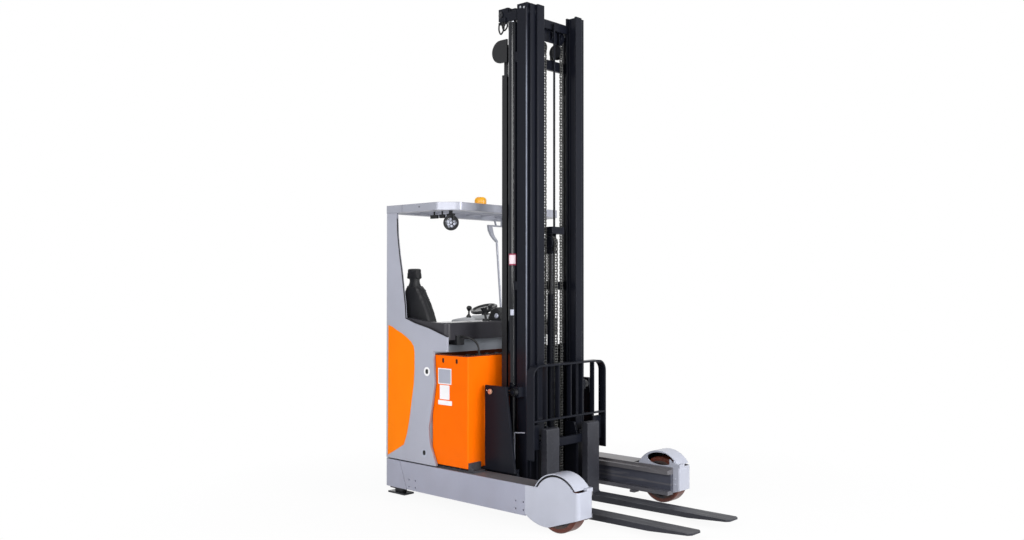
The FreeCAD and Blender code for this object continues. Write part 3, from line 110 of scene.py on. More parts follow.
class Graph:
    """A material's node tree, with its shader's fixed values set on the shader's own sockets."""

    def __init__(self, name, roughness=0.5, metallic=0.0, specular=0.5, coat=0.0, coat_roughness=0.1):
        self.material = bpy.data.materials.new(name)
        self.material.use_nodes = True
        self.tree = self.material.node_tree
        self.shader = self.tree.nodes["Principled BSDF"]
        for socket, value in (("Roughness", roughness), ("Metallic", metallic), ("Specular IOR Level", specular),
                              ("Coat Weight", coat), ("Coat Roughness", coat_roughness)):
            self.feed(socket, value)
        self.place = self.node("TexCoord").outputs["Object"]

    def put(self, socket, value):
        """Links a socket to another one's output, or gives it a fixed value."""
        if isinstance(value, bpy.types.NodeSocket):
            self.tree.links.new(value, socket)
        else:
            socket.default_value = value

    def feed(self, socket, value):
        self.put(self.shader.inputs[socket], value)

    def node(self, kind, **inputs):
        made = self.tree.nodes.new("ShaderNode" + kind)
        for key, value in inputs.items():
            self.put(made.inputs[key.replace("_", " ")], value)
        return made

    def noise(self, scale, detail, stretch=None):
        place = self.node("Mapping", Vector=self.place, Scale=stretch).outputs["Vector"] if stretch else self.place
        return self.node("TexNoise", Vector=place, Scale=scale, Detail=detail).outputs["Fac"]

    def cells(self, scale):
        return self.node("TexVoronoi", Vector=self.place, Scale=scale).outputs["Distance"]

    def ramp(self, factor, low, high, start=0.0, end=1.0):
        made = self.node("MapRange", Value=factor, From_Min=low, From_Max=high, To_Min=start, To_Max=end)
        return made.outputs["Result"]

    def patches(self, scale, detail, low, high, start=0.0, end=1.0, stretch=None):
        """Soft patches of noise between two thresholds."""
        return self.ramp(self.noise(scale, detail, stretch), low, high, start, end)

    def math(self, operation, first, second):
        made = self.node("Math")
        made.operation = operation
        self.put(made.inputs[0], first)
        self.put(made.inputs[1], second)
        return made.outputs[0]

    def times(self, first, second):
        return self.math("MULTIPLY", first, second)

    def mix(self, factor, first, second):
        made = self.node("Mix")
        made.data_type = "RGBA"
        for index, value in ((0, factor), (6, first), (7, second)):
            self.put(made.inputs[index], value)
        return made.outputs[2]

    def varied(self, base, scale, detail, dark, light, low=0.3, high=0.7):
        """The base colour between two shares of its brightness, in patches."""
        return self.mix(self.patches(scale, detail, low, high), scaled(base, dark), scaled(base, light))

    def wash(self, tone, colour, mask, strength):
        """Lays a colour over a tone where the mask is, at the given strength."""
        return self.mix(self.times(mask, strength), tone, rgb(colour) if isinstance(colour, str) else colour)

    def axis(self, name):
        return self.node("SeparateXYZ", Vector=self.place).outputs[name]

    def bevel(self, radius):
        made = self.node("Bevel", Radius=radius)
        made.samples = BEVEL_SAMPLES
        return made.outputs["Normal"]

    def edges(self, radius, low=0.02, high=0.25):
        """1 along sharp edges, 0 on flat faces."""
        dot = self.node("VectorMath")
        dot.operation = "DOT_PRODUCT"
        self.put(dot.inputs[0], self.bevel(radius))
        self.put(dot.inputs[1], self.node("NewGeometry").outputs["Normal"])
        return self.ramp(self.math("SUBTRACT", 1.0, dot.outputs["Value"]), low, high)

    def rub(self, radius, scale, low, high):
        """Edges that hands, boots or loads have worn, in patches."""
        return self.times(self.edges(radius), self.patches(scale, 3.0, low, high))

    def finished(self, tone, roughness=None, edge=None, grain=None):
        """The material, with its edges softened by a radius and a grain of (height, strength, distance)."""
        self.feed("Base Color", tone)
        if roughness:
            self.feed("Roughness", roughness)
        normal = self.bevel(edge) if edge else None
        if grain:
            bump = self.node("Bump", Height=grain[0], Strength=grain[1], Distance=grain[2])
            if normal:
                self.put(bump.inputs["Normal"], normal)
            normal = bump.outputs["Normal"]
        if normal:
            self.feed("Normal", normal)
        return self.material


def painted(name, colour, roughness, specular=0.5, coat=0.0, metallic=0.0, worn=None, wear=0.0, dust=0.0,
            flake=0.0, edge=0.0022, shaded_inside=None):
    """Sprayed paint: broad unevenness, fine orange peel, wear at edges and dust towards the floor.

    The last argument gives the x range and the half width of a case, whose inner walls are darkened as painted
    shade.
    """
    graph = Graph(name, roughness, metallic, specular, coat, 0.12)
    base = rgb(colour)
    tone = graph.varied(base, 2.3, 3.0, 0.93, 1.06)
    if flake:
        tone = graph.wash(tone, scaled(base, 1.5), graph.ramp(graph.cells(420.0), 0.15, 0.5), flake)
    streak = graph.patches(9.0, 4.0, 0.45, 0.8, stretch=(1.0, 1.0, 0.12))
    tone = graph.wash(tone, scaled(base, 0.78), streak, 0.16)
    if dust:
        low = graph.ramp(graph.axis("Z"), 0.02, 0.45, 1.0, 0.0)
        tone = graph.wash(tone, DUST, graph.times(low, graph.patches(6.5, 5.0, 0.35, 0.75)), dust)
    if wear:
        tone = graph.wash(tone, worn, graph.rub(0.004, 38.0, 0.38, 0.62), wear)
    if shaded_inside:
        (x0, x1), half = shaded_inside
        step = 0.001
        x, y = graph.axis("X"), graph.math("ABSOLUTE", graph.axis("Y"), 0.0)
        inside = graph.times(graph.ramp(x, x0 - step, x0), graph.ramp(x, x1, x1 + step, 1.0, 0.0))
        inside = graph.times(inside, graph.ramp(y, half, half + step, 1.0, 0.0))
        # painted shade: the case's inner walls are darkened
        tone = graph.mix(inside, tone, rgb("3a1608"))
    return graph.finished(tone, graph.patches(5.0, 4.0, 0.3, 0.75, roughness * 0.92, roughness * 1.12), edge,
                          (graph.noise(160.0, 2.0), 0.012, 0.0004))


def moulded(name, colour, roughness, grain=900.0, depth=0.25, worn="5a5c60", specular=0.4):
    """Moulded plastic with a fine leather grain, a little paler where hands and boots rub it."""
    graph = Graph(name, roughness, 0.0, specular)
    tone = graph.varied(rgb(colour), 3.0, 3.0, 0.85, 1.15)
    return graph.finished(graph.wash(tone, worn, graph.rub(0.005, 22.0, 0.4, 0.65), 0.35),
                          graph.patches(8.0, 3.0, 0.3, 0.7, roughness * 0.85, roughness * 1.12), 0.003,
                          (graph.cells(grain), depth, 0.0005))


def steel(name, colour, roughness, streaks=NO_STRETCH, metallic=1.0, oil=0.0):
    """Bare steel with fine lines along one direction and, where asked, dark oil in patches."""
    graph = Graph(name, roughness, metallic)
    base = rgb(colour)
    lines = graph.noise(160.0, 3.0, streaks)
    tone = graph.mix(graph.ramp(lines, 0.35, 0.65), scaled(base, 0.86), scaled(base, 1.1))
    if oil:
        tone = graph.wash(tone, "17150f", graph.patches(26.0, 4.0, 0.42, 0.66), oil)
    return graph.finished(tone, graph.ramp(lines, 0.3, 0.7, roughness * 0.75, roughness * 1.3), 0.0015,
                          (lines, 0.12, 0.0003))


def polyurethane():
    """Cast tyre tread: warm brown-red, scuffed and dusty round its running face."""
    graph = Graph("polyurethane_tyre", 0.45, 0.0, 0.3)
    scuff = graph.patches(60.0, 5.0, 0.52, 0.75, stretch=(1.0, 0.25, 1.0))
    tone = graph.varied(rgb("52281e"), 14.0, 4.0, 0.7, 1.35)
    return graph.finished(graph.wash(tone, "5b5048", scuff, 0.35), graph.ramp(scuff, 0.0, 1.0, 0.36, 0.62), 0.004,
                          (graph.noise(120.0, 4.0), 0.2, 0.0006))


def cast_iron():
    """Sand-cast and painted hub: pitted and dark, with brown patches and paler edges."""
    graph = Graph("cast_hub_iron", 0.62, 0.25, 0.4)
    tone = graph.mix(graph.patches(18.0, 5.0, 0.35, 0.7), rgb("26262a"), rgb("4a3a33"))
    return graph.finished(graph.wash(tone, "6a6c72", graph.edges(0.004), 0.4), edge=0.003,
                          grain=(graph.noise(210.0, 5.0), 0.45, 0.0012))


def fork_steel():
    """Forged fork: dark paint over scale, scratched along the blade and worn bright at its edges."""
    graph = Graph("forged_fork_steel", 0.45, 0.2, 0.35)
    tone = graph.varied(rgb("282930"), 7.0, 5.0, 0.8, 1.2)
    scratches = graph.patches(46.0, 5.0, 0.56, 0.7, stretch=(0.06, 1.0, 1.0))
    on_blade = graph.ramp(graph.axis("Z"), 0.07, 0.11, 0.5, 0.06)
    tone = graph.wash(tone, "66676c", scratches, on_blade)
    return graph.finished(graph.wash(tone, "7f8187", graph.rub(0.006, 20.0, 0.35, 0.6), 0.45),
                          graph.ramp(scratches, 0.0, 1.0, 0.5, 0.33), 0.004, (graph.noise(90.0, 5.0), 0.18, 0.0008))


def upholstery(name, colour):
    """Black vinyl cover over foam: pebbled grain, darker between its pebbles, with a slight sheen."""
    graph = Graph(name, 0.5, 0.0, 0.3)
    graph.feed("Sheen Weight", 0.1)
    graph.feed("Sheen Roughness", 0.45)
    base = rgb(colour)
    grain = graph.cells(520.0)
    tone = graph.varied(base, 6.0, 3.0, 0.75, 1.3)
    return graph.finished(graph.mix(graph.ramp(grain, 0.0, 0.35, 0.35, 0.0), tone, scaled(base, 0.45)),
                          graph.patches(12.0, 3.0, 0.3, 0.7, 0.46, 0.64), grain=(grain, 0.35, 0.0007))


def gloss_enamel(name, colour):
    """Hard glossy paint on a cylinder barrel, with faint run marks down its length."""
    graph = Graph(name, 0.12, 0.0, 0.3)
    base = rgb(colour)
    runs = graph.noise(30.0, 3.0, (1.0, 1.0, 0.05))
    return graph.finished(graph.mix(graph.ramp(runs, 0.3, 0.7), scaled(base, 0.8), scaled(base, 1.25)),
                          graph.ramp(runs, 0.3, 0.7, 0.1, 0.15))


def arm_enamel():
    """Rail paint with painted highlights: pale along the flanges and the ridge, darker in the channel where the
    rollers run.
    """
    graph = Graph("arm_enamel", 0.34, 0.2, 0.45)
    height = graph.axis("Z")
    flange = graph.ramp(height, 0.212, 0.224)
    ridge = graph.times(graph.ramp(height, 0.14, 0.146), graph.ramp(height, 0.152, 0.158, 1.0, 0.0))
    foot = graph.ramp(height, 0.104, 0.112, 1.0, 0.0)
    # pale: painted highlight bands, set by height on the flanges and the ridge
    pale = graph.math("MAXIMUM", flange, graph.times(graph.math("MAXIMUM", ridge, foot), 0.6))
    tone = graph.mix(pale, rgb("4a4c58"), rgb("6c6a6e"))
    tone = graph.mix(graph.patches(3.0, 4.0, 0.3, 0.7, 0.0, 0.3), tone, rgb("26262b"))
    scuffs = graph.patches(40.0, 5.0, 0.55, 0.72, stretch=(0.1, 1.0, 1.0))
    return graph.finished(graph.wash(tone, "8d8a8a", scuffs, 0.3), graph.ramp(scuffs, 0.0, 1.0, 0.36, 0.26), 0.004,
                          (graph.noise(90.0, 4.0), 0.04, 0.0004))


def beacon_plastic():
    """Ribbed amber lens over a lamp."""
    rib_count = 28.0
    graph = Graph("amber_lens", 0.3, 0.0, 0.4)
    graph.feed("Subsurface Weight", 0.3)
    graph.feed("Subsurface Scale", 0.02)
    low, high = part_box("beacon")
    moved = graph.node("Mapping", Vector=graph.place, Location=tuple((low + high) / -2))
    split = graph.node("SeparateXYZ", Vector=moved.outputs["Vector"]).outputs
    ribs = graph.math("SINE", graph.times(graph.math("ARCTAN2", split["Y"], split["X"]), rib_count), 0.0)
    tone = graph.mix(graph.ramp(split["Z"], -0.03, 0.03), rgb("d08a04"), rgb("e6a410"))
    return graph.finished(graph.wash(tone, "ffcb3c", graph.ramp(ribs, -1.0, 1.0), 0.25), grain=(ribs, 0.4, 0.0008))


def jar_plastic():
    """Battery cell tops: black plastic under a film of dust, with pale salts here and there."""
    graph = Graph("cell_plastic", 0.55, 0.0, 0.4)
    tone = graph.mix(graph.patches(9.0, 4.0, 0.35, 0.7), rgb("151518"), rgb("2b2b2e"))
    return graph.finished(graph.wash(tone, "6d6a63", graph.patches(34.0, 5.0, 0.62, 0.74), 0.3), edge=0.002,
                          grain=(graph.cells(700.0), 0.2, 0.0005))


BATTERY_INSIDE_X = (LOAD_AXLE_X - 1.1475, LOAD_AXLE_X - 0.8015)
SLOT_MATERIALS = {
    "frame_paint": painted("frame_paint_dark", "2e2f36", 0.46, 0.3, worn="6b6d73", wear=0.35, dust=0.45),
    "silver_paint": painted("silver_enamel", "9c9eab", 0.34, 0.4, coat=0.2, metallic=0.1, worn="d5d8de",
                            wear=0.35, dust=0.12, flake=0.12),
    "cover_paint": painted("cover_enamel", "a9acb9", 0.3, 0.5, coat=0.25, metallic=0.1, worn="e2e4ea",
                           wear=0.25, dust=0.1, flake=0.12),
    "guard_paint": painted("guard_enamel", "9799a4", 0.42, 0.4, coat=0.1, metallic=0.2, worn="d0d3da",
                           wear=0.3, flake=0.12, edge=0.006),
    "mast_paint": painted("mast_enamel", "15171f", 0.3, 0.1, worn="3c3f48", wear=0.35, dust=0.1,
                          edge=0.009),
    "fork_steel": fork_steel(),
    # the battery case's inner walls get a painted shade
    "battery_paint": painted("battery_enamel", "ee6700", 0.42, 0.06, worn="ffa04a", wear=0.3, dust=0.1,
                             edge=0.005, shaded_inside=(BATTERY_INSIDE_X, 0.6015)),
    "battery_jars": jar_plastic(),
    "polyurethane": polyurethane(),
    "cast_hub": cast_iron(),
    "chain_steel": steel("chain_links_steel", "5d5d5c", 0.42, metallic=0.7, oil=0.55),
    "bright_steel": steel("ground_steel", "b9bcc2", 0.2, (1.0, 1.0, 0.04)),
    "grey_panel": painted("panel_enamel", "8a8f98", 0.42, 0.4, worn="b9bcc4", wear=0.3),
    "hood_plastic": moulded("hood_shell", "c6c8cb", 0.5, 800.0, 0.18, "e4e5e7"),
    "black_plastic": moulded("black_shell", "151619", 0.46, 700.0, 0.3, "3c3e42", 0.3),
    "seat_cover": upholstery("seat_vinyl", "0f1014"),
    "motor_paint": painted("motor_enamel", "33363d", 0.5, 0.35, worn="5d6067", wear=0.3, dust=0.2),
    "beacon_lens": beacon_plastic(),
    "cable_rubber": moulded("cable_sheath", "121214", 0.5, 1200.0, 0.15, "2a2b2e", 0.3),
}
SKIRT_PAINT = painted("skirt_enamel", "9597a7", 0.36, 0.4, coat=0.15, metallic=0.15, worn="cdd0d8", wear=0.3,
                      dust=0.15, flake=0.12)
DARK_STEEL = steel("dark_steel", "2b2c31", 0.35, (1.0, 1.0, 0.2), 0.6, oil=0.4)
NODE_MATERIALS = {
    "side_skirts": SKIRT_PAINT,
    "rear_bumper": SKIRT_PAINT,
    "wheel_arms": arm_enamel(),
    "stabiliser_foot": DARK_STEEL,
    "tilt_rods": DARK_STEEL,
    "lift_cylinders": gloss_enamel("cylinder_enamel", "0c0e15"),
    "free_lift_rod": DARK_STEEL,
    "front_console": moulded("console_shell", "222127", 0.42, 600.0, 0.25, "4a4950", 0.35),
}
for entry in frame["record"]["subparts"]:
    node = frame["nodes"][entry["node"]]
    node.data.materials.clear()
    node.data.materials.append(NODE_MATERIALS.get(entry["node"]) or SLOT_MATERIALS[entry["material_slot"]])


# ------------------------ mesh helpers
UP, DOWN, ACROSS, FORWARD = Vector((0, 0, 1)), Vector((0, 0, -1)), Vector((0, 1, 0)), Vector((1, 0, 0))
SIDES = ((-1, "right"), (1, "left"))


def finish_piece(name, bm, slot, body="chassis", material=None, crease=35):
    """Object from a bmesh, smooth below the crease angle, in its slot's material unless another is given.

    A piece that still changes shape, or runs between two bodies, has no body here.
    """
    bmesh.ops.recalc_face_normals(bm, faces=bm.faces)
    mesh = bpy.data.meshes.new(name)
    bm.to_mesh(mesh)
    bm.free()
    mesh.materials.append(material or SLOT_MATERIALS[slot])
    mesh.shade_smooth()
    mesh.set_sharp_from_angle(angle=math.radians(crease))
    obj = add_object(name, mesh)
    if body:
        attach(obj, body)
    return obj


def close_rings(bm, rings):
    """Closed solid through rings of equally many points."""
    bm.faces.new(rings[0])
    bm.faces.new(rings[-1][::-1])
    for first, second in zip(rings, rings[1:]):
        for i in range(len(first)):
            j = (i + 1) % len(first)
            bm.faces.new((first[j], first[i], second[i], second[j]))


def prism(bm, outline, offset):
    """Closed solid between an outline and the same outline moved by an offset."""
    close_rings(bm, [[bm.verts.new(Vector(p) + Vector(move)) for p in outline] for move in ((0, 0, 0), offset)])


def frame_of(axis):
    axis = Vector(axis).normalized()
    side = axis.orthogonal().normalized()
    return axis, side, axis.cross(side)


def ring(bm, centre, u, v, radius, steps):
    turns = [2 * math.pi * i / steps for i in range(steps)]
    return [bm.verts.new(centre + (u * math.cos(a) + v * math.sin(a)) * radius) for a in turns]


def turned(bm, profile, origin, axis, steps=32):
    """Solid of revolution: profile is (radius, distance along the axis) from one end to the other."""
    axis, u, v = frame_of(axis)
    rings = []
    for radius, height in profile:
        centre = Vector(origin) + axis * height
        rings.append(ring(bm, centre, u, v, radius, steps) if radius > 0 else [bm.verts.new(centre)])
    for end in (rings[0], rings[-1]):
        if len(end) > 1:
            bm.faces.new(end)
    for first, second in zip(rings, rings[1:]):
        for i in range(steps):
            j = (i + 1) % steps
            if len(first) == 1 and len(second) > 1:
                bm.faces.new((first[0], second[i], second[j]))
            elif len(second) == 1 and len(first) > 1:
                bm.faces.new((first[i], first[j], second[0]))
            elif len(first) > 1:
                bm.faces.new((first[i], first[j], second[j], second[i]))


def smooth_path(points, steps=8):
    """Catmull-Rom line through points."""
    ends = [points[0] * 2 - points[1]] + list(points) + [points[-1] * 2 - points[-2]]
    path = []
    for a, b, c, d in zip(ends, ends[1:], ends[2:], ends[3:]):
        for i in range(steps):
            t = i / steps
            path.append(0.5 * ((2 * b) + (c - a) * t + (2 * a - 5 * b + 4 * c - d) * t * t
                               + (3 * b - a - 3 * c + d) * t ** 3))
    return path + [points[-1]]


def swept(bm, path, radius, steps=12):
    """Round bar along a path, closed at both ends."""
    tangents = [(path[min(i + 1, len(path) - 1)] - path[max(i - 1, 0)]).normalized() for i in range(len(path))]
    side = tangents[0].orthogonal().normalized()
    rings = []
    for centre, tangent in zip(path, tangents):
        side = (side - tangent * side.dot(tangent)).normalized()
        rings.append(ring(bm, centre, side, tangent.cross(side), radius, steps))
    close_rings(bm, rings)


def bolt_head(bm, place, axis, radius, height):
    """Hexagon head with a chamfered crown, on a washer."""
    turned(bm, [(radius * 1.35, -0.001), (radius * 1.35, height * 0.25), (radius * 1.2, height * 0.3)],
           place, axis, 20)
    turned(bm, [(radius, height * 0.25), (radius, height * 0.85), (radius * 0.82, height)], place, axis, 6)


def arc(radius, start, end, steps):
    """Points round a centre between two angles in degrees, as (u, v) pairs."""
    turns = [math.radians(start + (end - start) * i / steps) for i in range(steps + 1)]
    return [(radius * math.cos(a), radius * math.sin(a)) for a in turns]


def plate_corners(u, v, radius, steps=5):
    """Outline of a rectangle between u and v ranges with round corners, as (u, v) pairs."""
    corners = ((u[1] - radius, v[1] - radius, 0), (u[0] + radius, v[1] - radius, 90),
               (u[0] + radius, v[0] + radius, 180), (u[1] - radius, v[0] + radius, 270))
    return [(cu + du, cv + dv) for cu, cv, start in corners for du, dv in arc(radius, start, start + 90, steps)]


def box_piece(bm, low, high, cut=0.002):
    """Block with chamfered upright edges, between two corners laid out from the load axle."""
    (x0, y0, z0), (x1, y1, z1) = low, high
    plan = ((x0 + cut, y0), (x1 - cut, y0), (x1, y0 + cut), (x1, y1 - cut), (x1 - cut, y1), (x0 + cut, y1),
            (x0, y1 - cut), (x0, y0 + cut))
    prism(bm, [at(x, y, z0) for x, y in plan], (0, 0, z1 - z0))


def block_piece(name, slot, body, blocks):
    """Piece of blocks given as (low corner, high corner, chamfer)."""
    bm = bmesh.new()
    for low, high, cut in blocks:
        box_piece(bm, low, high, cut)
    finish_piece(name, bm, slot, body)


def sheet(bm, outline, faces):
    """Plate in an upright plane along the truck: (x, z) outline between two y places."""
    prism(bm, [at(x, faces[0], z) for x, z in outline], (0, faces[1] - faces[0], 0))


# ------------------------ battery lead
CABLE_ROUTE = ((-0.985, -0.487, 1.173), (-0.932, -0.487, 1.173), (-0.8824, -0.4572, 1.1507),
               (-0.8585, -0.436, 1.1085), (-0.8585, -0.436, 1.056))
CABLE_DIAMETER = 0.014


def add_battery_cable():
    data = bpy.data.curves.new("battery_lead", "CURVE")
    data.dimensions = "3D"
    data.bevel_depth = CABLE_DIAMETER / 2
    data.bevel_resolution = 5
    data.use_fill_caps = True
    data.resolution_u = 12
    spline = data.splines.new("NURBS")
    spline.points.add(len(CABLE_ROUTE) - 1)
    for point, place in zip(spline.points, CABLE_ROUTE):
        point.co = (*at(*place), 1.0)
    spline.order_u = 3
    spline.use_endpoint_u = True
    data.materials.append(SLOT_MATERIALS["cable_rubber"])
    lead = add_object("battery_lead", data)
    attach(lead, "chassis")
    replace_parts(lead, "battery_cable")


add_battery_cable()

# ------------------------ chains
CHAIN_PITCH = 0.01905
LINK_DEPTH = 0.0065
LINK_PLATE = 0.0026
PIN_RADIUS = 0.0048
SHEAVE_RIM = 0.008             # chain standing above the sheave's pitch line
MAST_CHAIN_Y = 0.09
MAST_CHAIN_ANCHOR_Z = 3.15
MAST_LIFT = 2.6
CARRIAGE_CHAIN_ANCHOR_Z = 1.28
CARRIAGE_CHAIN_LINKS = 0.9     # length of the rear fall's links before they are drawn together


def link_outline(pitch):
    """Waisted side plate from one pin to the next, as (along, across) pairs."""
    top = [(pitch / 2 + u, v) for u, v in arc(LINK_DEPTH, 90, -90, 4)]
    bottom = [(-u, -v) for u, v in top]
    waist = 0.72 * LINK_DEPTH
    return top + [(0.0, -waist)] + bottom + [(0.0, waist)]


def add_links(bm, stations, half_width, pitch):
    """Roller chain: a station is (place of a link's middle, direction along the chain, direction across it)."""
    outline = link_outline(pitch)
    for index, (place, along, across) in enumerate(stations):
        inset = LINK_PLATE * 1.15 if index % 2 else 0.0
        for side in (-1, 1):
            face = place + ACROSS * side * (half_width - inset)
            prism(bm, [face + along * u + across * v for u, v in outline], -ACROSS * side * LINK_PLATE)
        start = place - along * pitch / 2
        turned(bm, [(PIN_RADIUS, -half_width + 0.003), (PIN_RADIUS, half_width - 0.003)], start, ACROSS, 8)


def chain_fall(name, x, y, z, half_width, stretched_length=None):
    """Straight run between heights z, with no body of its own."""
    length = stretched_length or z[1] - z[0]
    count = max(2, round(length / CHAIN_PITCH))
    pitch = length / count
    bm = bmesh.new()
    add_links(bm, [(Vector((x, y, (i + 0.5) * pitch)), UP, FORWARD) for i in range(count)], half_width, pitch)
    squeeze = (z[1] - z[0]) / length
    for vert in bm.verts:
        vert.co.z = z[0] + vert.co.z * squeeze
    piece = finish_piece(name, bm, "chain_steel", None)
    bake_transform(piece)
    return piece


def chain_arc(name, x, y, z, radius, half_width, body):
    """Half turn of chain over a sheave."""
    count = round(math.pi * radius / CHAIN_PITCH)
    pitch = math.pi * radius / count
    bm = bmesh.new()
    stations = []
    for i in range(count):
        a = math.pi * (i + 0.5) / count
        outward = Vector((math.cos(a), 0, math.sin(a)))
        stations.append((Vector((x, y, z)) + outward * radius, Vector((-math.sin(a), 0, math.cos(a))), outward))
    add_links(bm, stations, half_width, pitch)
    finish_piece(name, bm, "chain_steel", body)


def add_chain(node, name, y, radius, half_width, anchor_z, bodies, length=None):
    """Chain over a sheave; bodies are those at its front end, at its anchor and under its sheave."""
    front_end, anchor, sheave = bodies
    low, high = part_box(node)
    x = (low.x + high.x) / 2
    top = high.z - radius - SHEAVE_RIM
    fall = chain_fall(name % "front", x + radius, y, (low.z, top), half_width)
    chain_fall(name % "rear", x - radius, y, (anchor_z, top), half_width,
               length or MAST_LIFT + top - anchor_z)
    chain_arc(name % "over", x, y, top, radius, half_width, sheave)
    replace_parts(fall, node)


def add_chains():
    for side, label in SIDES:
        add_chain("mast_chains", "mast_chain_%s_" + label, side * MAST_CHAIN_Y, 0.045, 0.0135, MAST_CHAIN_ANCHOR_Z,
                  ("inner_mast", "outer_mast", "middle_mast"))
    low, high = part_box("carriage_chains")
    add_chain("carriage_chains", "carriage_chain_%s", (low.y + high.y) / 2, 0.042, 0.017,
              CARRIAGE_CHAIN_ANCHOR_Z, ("fork_carriage", "inner_mast", "lift_crosshead"), CARRIAGE_CHAIN_LINKS)


add_chains()


# ------------------------ padded seat
PAD_VOXEL = 0.0055
PAD_PRESSURE = 4.0
CLOTH_FRAMES = 20
SEAM_WIDTH = 0.008
SEAM_DEPTH = 0.006


def box_mesh(bm, low, high, cuts, shape):
    """Closed box of small quads, whose corners a shape function moves."""
    counts = [max(1, round((h - l) / cuts)) for l, h in zip(low, high)]
    verts = {}

    def corner(i, j, k):
        if (i, j, k) not in verts:
            share = [n / c for n, c in zip((i, j, k), counts)]
            place = Vector([l + (h - l) * s for l, h, s in zip(low, high, share)])
            verts[(i, j, k)] = bm.verts.new(shape(place, share))
        return verts[(i, j, k)]

    for axis in (2, 1, 0):
        u, v = [a for a in range(3) if a != axis]
        for i, j in itertools.product(range(counts[u]), range(counts[v])):
            for end in (0, counts[axis]):
                quad = []
                for du, dv in ((0, 0), (1, 0), (1, 1), (0, 1)):
                    index = [end, end, end]
                    index[u], index[v] = i + du, j + dv
                    quad.append(corner(*index))
                bm.faces.new(quad)


def apply_modifier(obj, modifier):
    bpy.context.view_layer.objects.active = obj
    bpy.ops.object.modifier_apply(modifier=modifier.name)


def pad_out(obj, cap):
    """Swells a foam shape under its cover by cloth simulation; no point moves further than the cap."""
    remesh = obj.modifiers.new("voxels", "REMESH")
    remesh.mode = "VOXEL"
    remesh.voxel_size = PAD_VOXEL
    apply_modifier(obj, remesh)
    rest = [v.co.copy() for v in obj.data.vertices]
    cloth = obj.modifiers.new("cover", "CLOTH")
    cloth.settings.use_pressure = True
    cloth.settings.uniform_pressure_force = PAD_PRESSURE
    cloth.settings.effector_weights.gravity = 0.0
    cloth.settings.quality = 5
    cloth.point_cache.frame_start = 1
    cloth.point_cache.frame_end = CLOTH_FRAMES
    for frame_number in range(1, CLOTH_FRAMES + 1):
        bpy.context.scene.frame_set(frame_number)
    apply_modifier(obj, cloth)
    bpy.context.scene.frame_set(1)
    for vert, start in zip(obj.data.vertices, rest):
        moved = vert.co - start
        if moved.length > cap:
            vert.co = start + moved * (cap / moved.length)


def sew(obj, seams, inward):
    """Presses narrow channels along seams; a seam gives a point's distance from it."""
    for vert in obj.data.vertices:
        near = min(seam(vert.co) for seam in seams)
        if near < SEAM_WIDTH:
            vert.co += inward(vert.co) * SEAM_DEPTH * (1 - (near / SEAM_WIDTH) ** 2) ** 2
    smooth = obj.modifiers.new("smooth", "SUBSURF")
    smooth.levels = smooth.render_levels = 1
    apply_modifier(obj, smooth)
    obj.data.shade_smooth()


def seat_piece(name, node, shape, inset, cap, seams, inward, cuts=0.02):
    """Padded cover in a CAD node's box: shaped, swollen and sewn."""
    low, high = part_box(node)
    bm = bmesh.new()
    box_mesh(bm, low + Vector(inset), high - Vector(inset), cuts, shape)
    piece = finish_piece(name, bm, "seat_cover", None, crease=180)
    pad_out(piece, cap)
    sew(piece, seams, inward)
    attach(piece, "chassis")
    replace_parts(piece, node)


def add_cushion():
    low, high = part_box("seat_cushion")
    middle = (low + high) / 2
    bolster = 0.075
    left, right = low.x + bolster, high.x - bolster

    def cushion(place, share):
        """Front edge rolled down, sides raised as low bolsters."""
        side = abs(share[0] - 0.5) * 2
        front = max(0.0, (share[1] - 0.72) / 0.28)
        rise = 0.012 * side ** 3 * share[2]
        return place + Vector((0, 0, rise - 0.03 * front ** 2 * share[2]))

    seams = [lambda p: min(abs(p.x - left), abs(p.x - right)) if p.z > middle.z else 1.0]
    for share in (0.27, 0.5, 0.73):
        y = low.y + (high.y - low.y) * share
        seams.append(lambda p, y=y: abs(p.y - y) if left < p.x < right and p.z > middle.z else 1.0)
    seat_piece("seat_cushion_cover", "seat_cushion", cushion, (0.008, 0.008, 0.007), 0.01, seams,
               lambda p: DOWN)


BACK_STATIONS = ((0.0, 0.9), (0.2, 0.98), (0.5, 1.0), (0.63, 0.97), (0.76, 0.8), (0.86, 0.63), (0.95, 0.45),
                 (1.0, 0.27))  # (share of the height, share of the half width)
BACK_LEAN = 0.03
LEAN_FROM_Z = 1.27
BACK_BORDER = 0.062            # from the back's edge to the seam round its middle
BACK_WELT = 0.03               # from the back's edge to the welt on its side


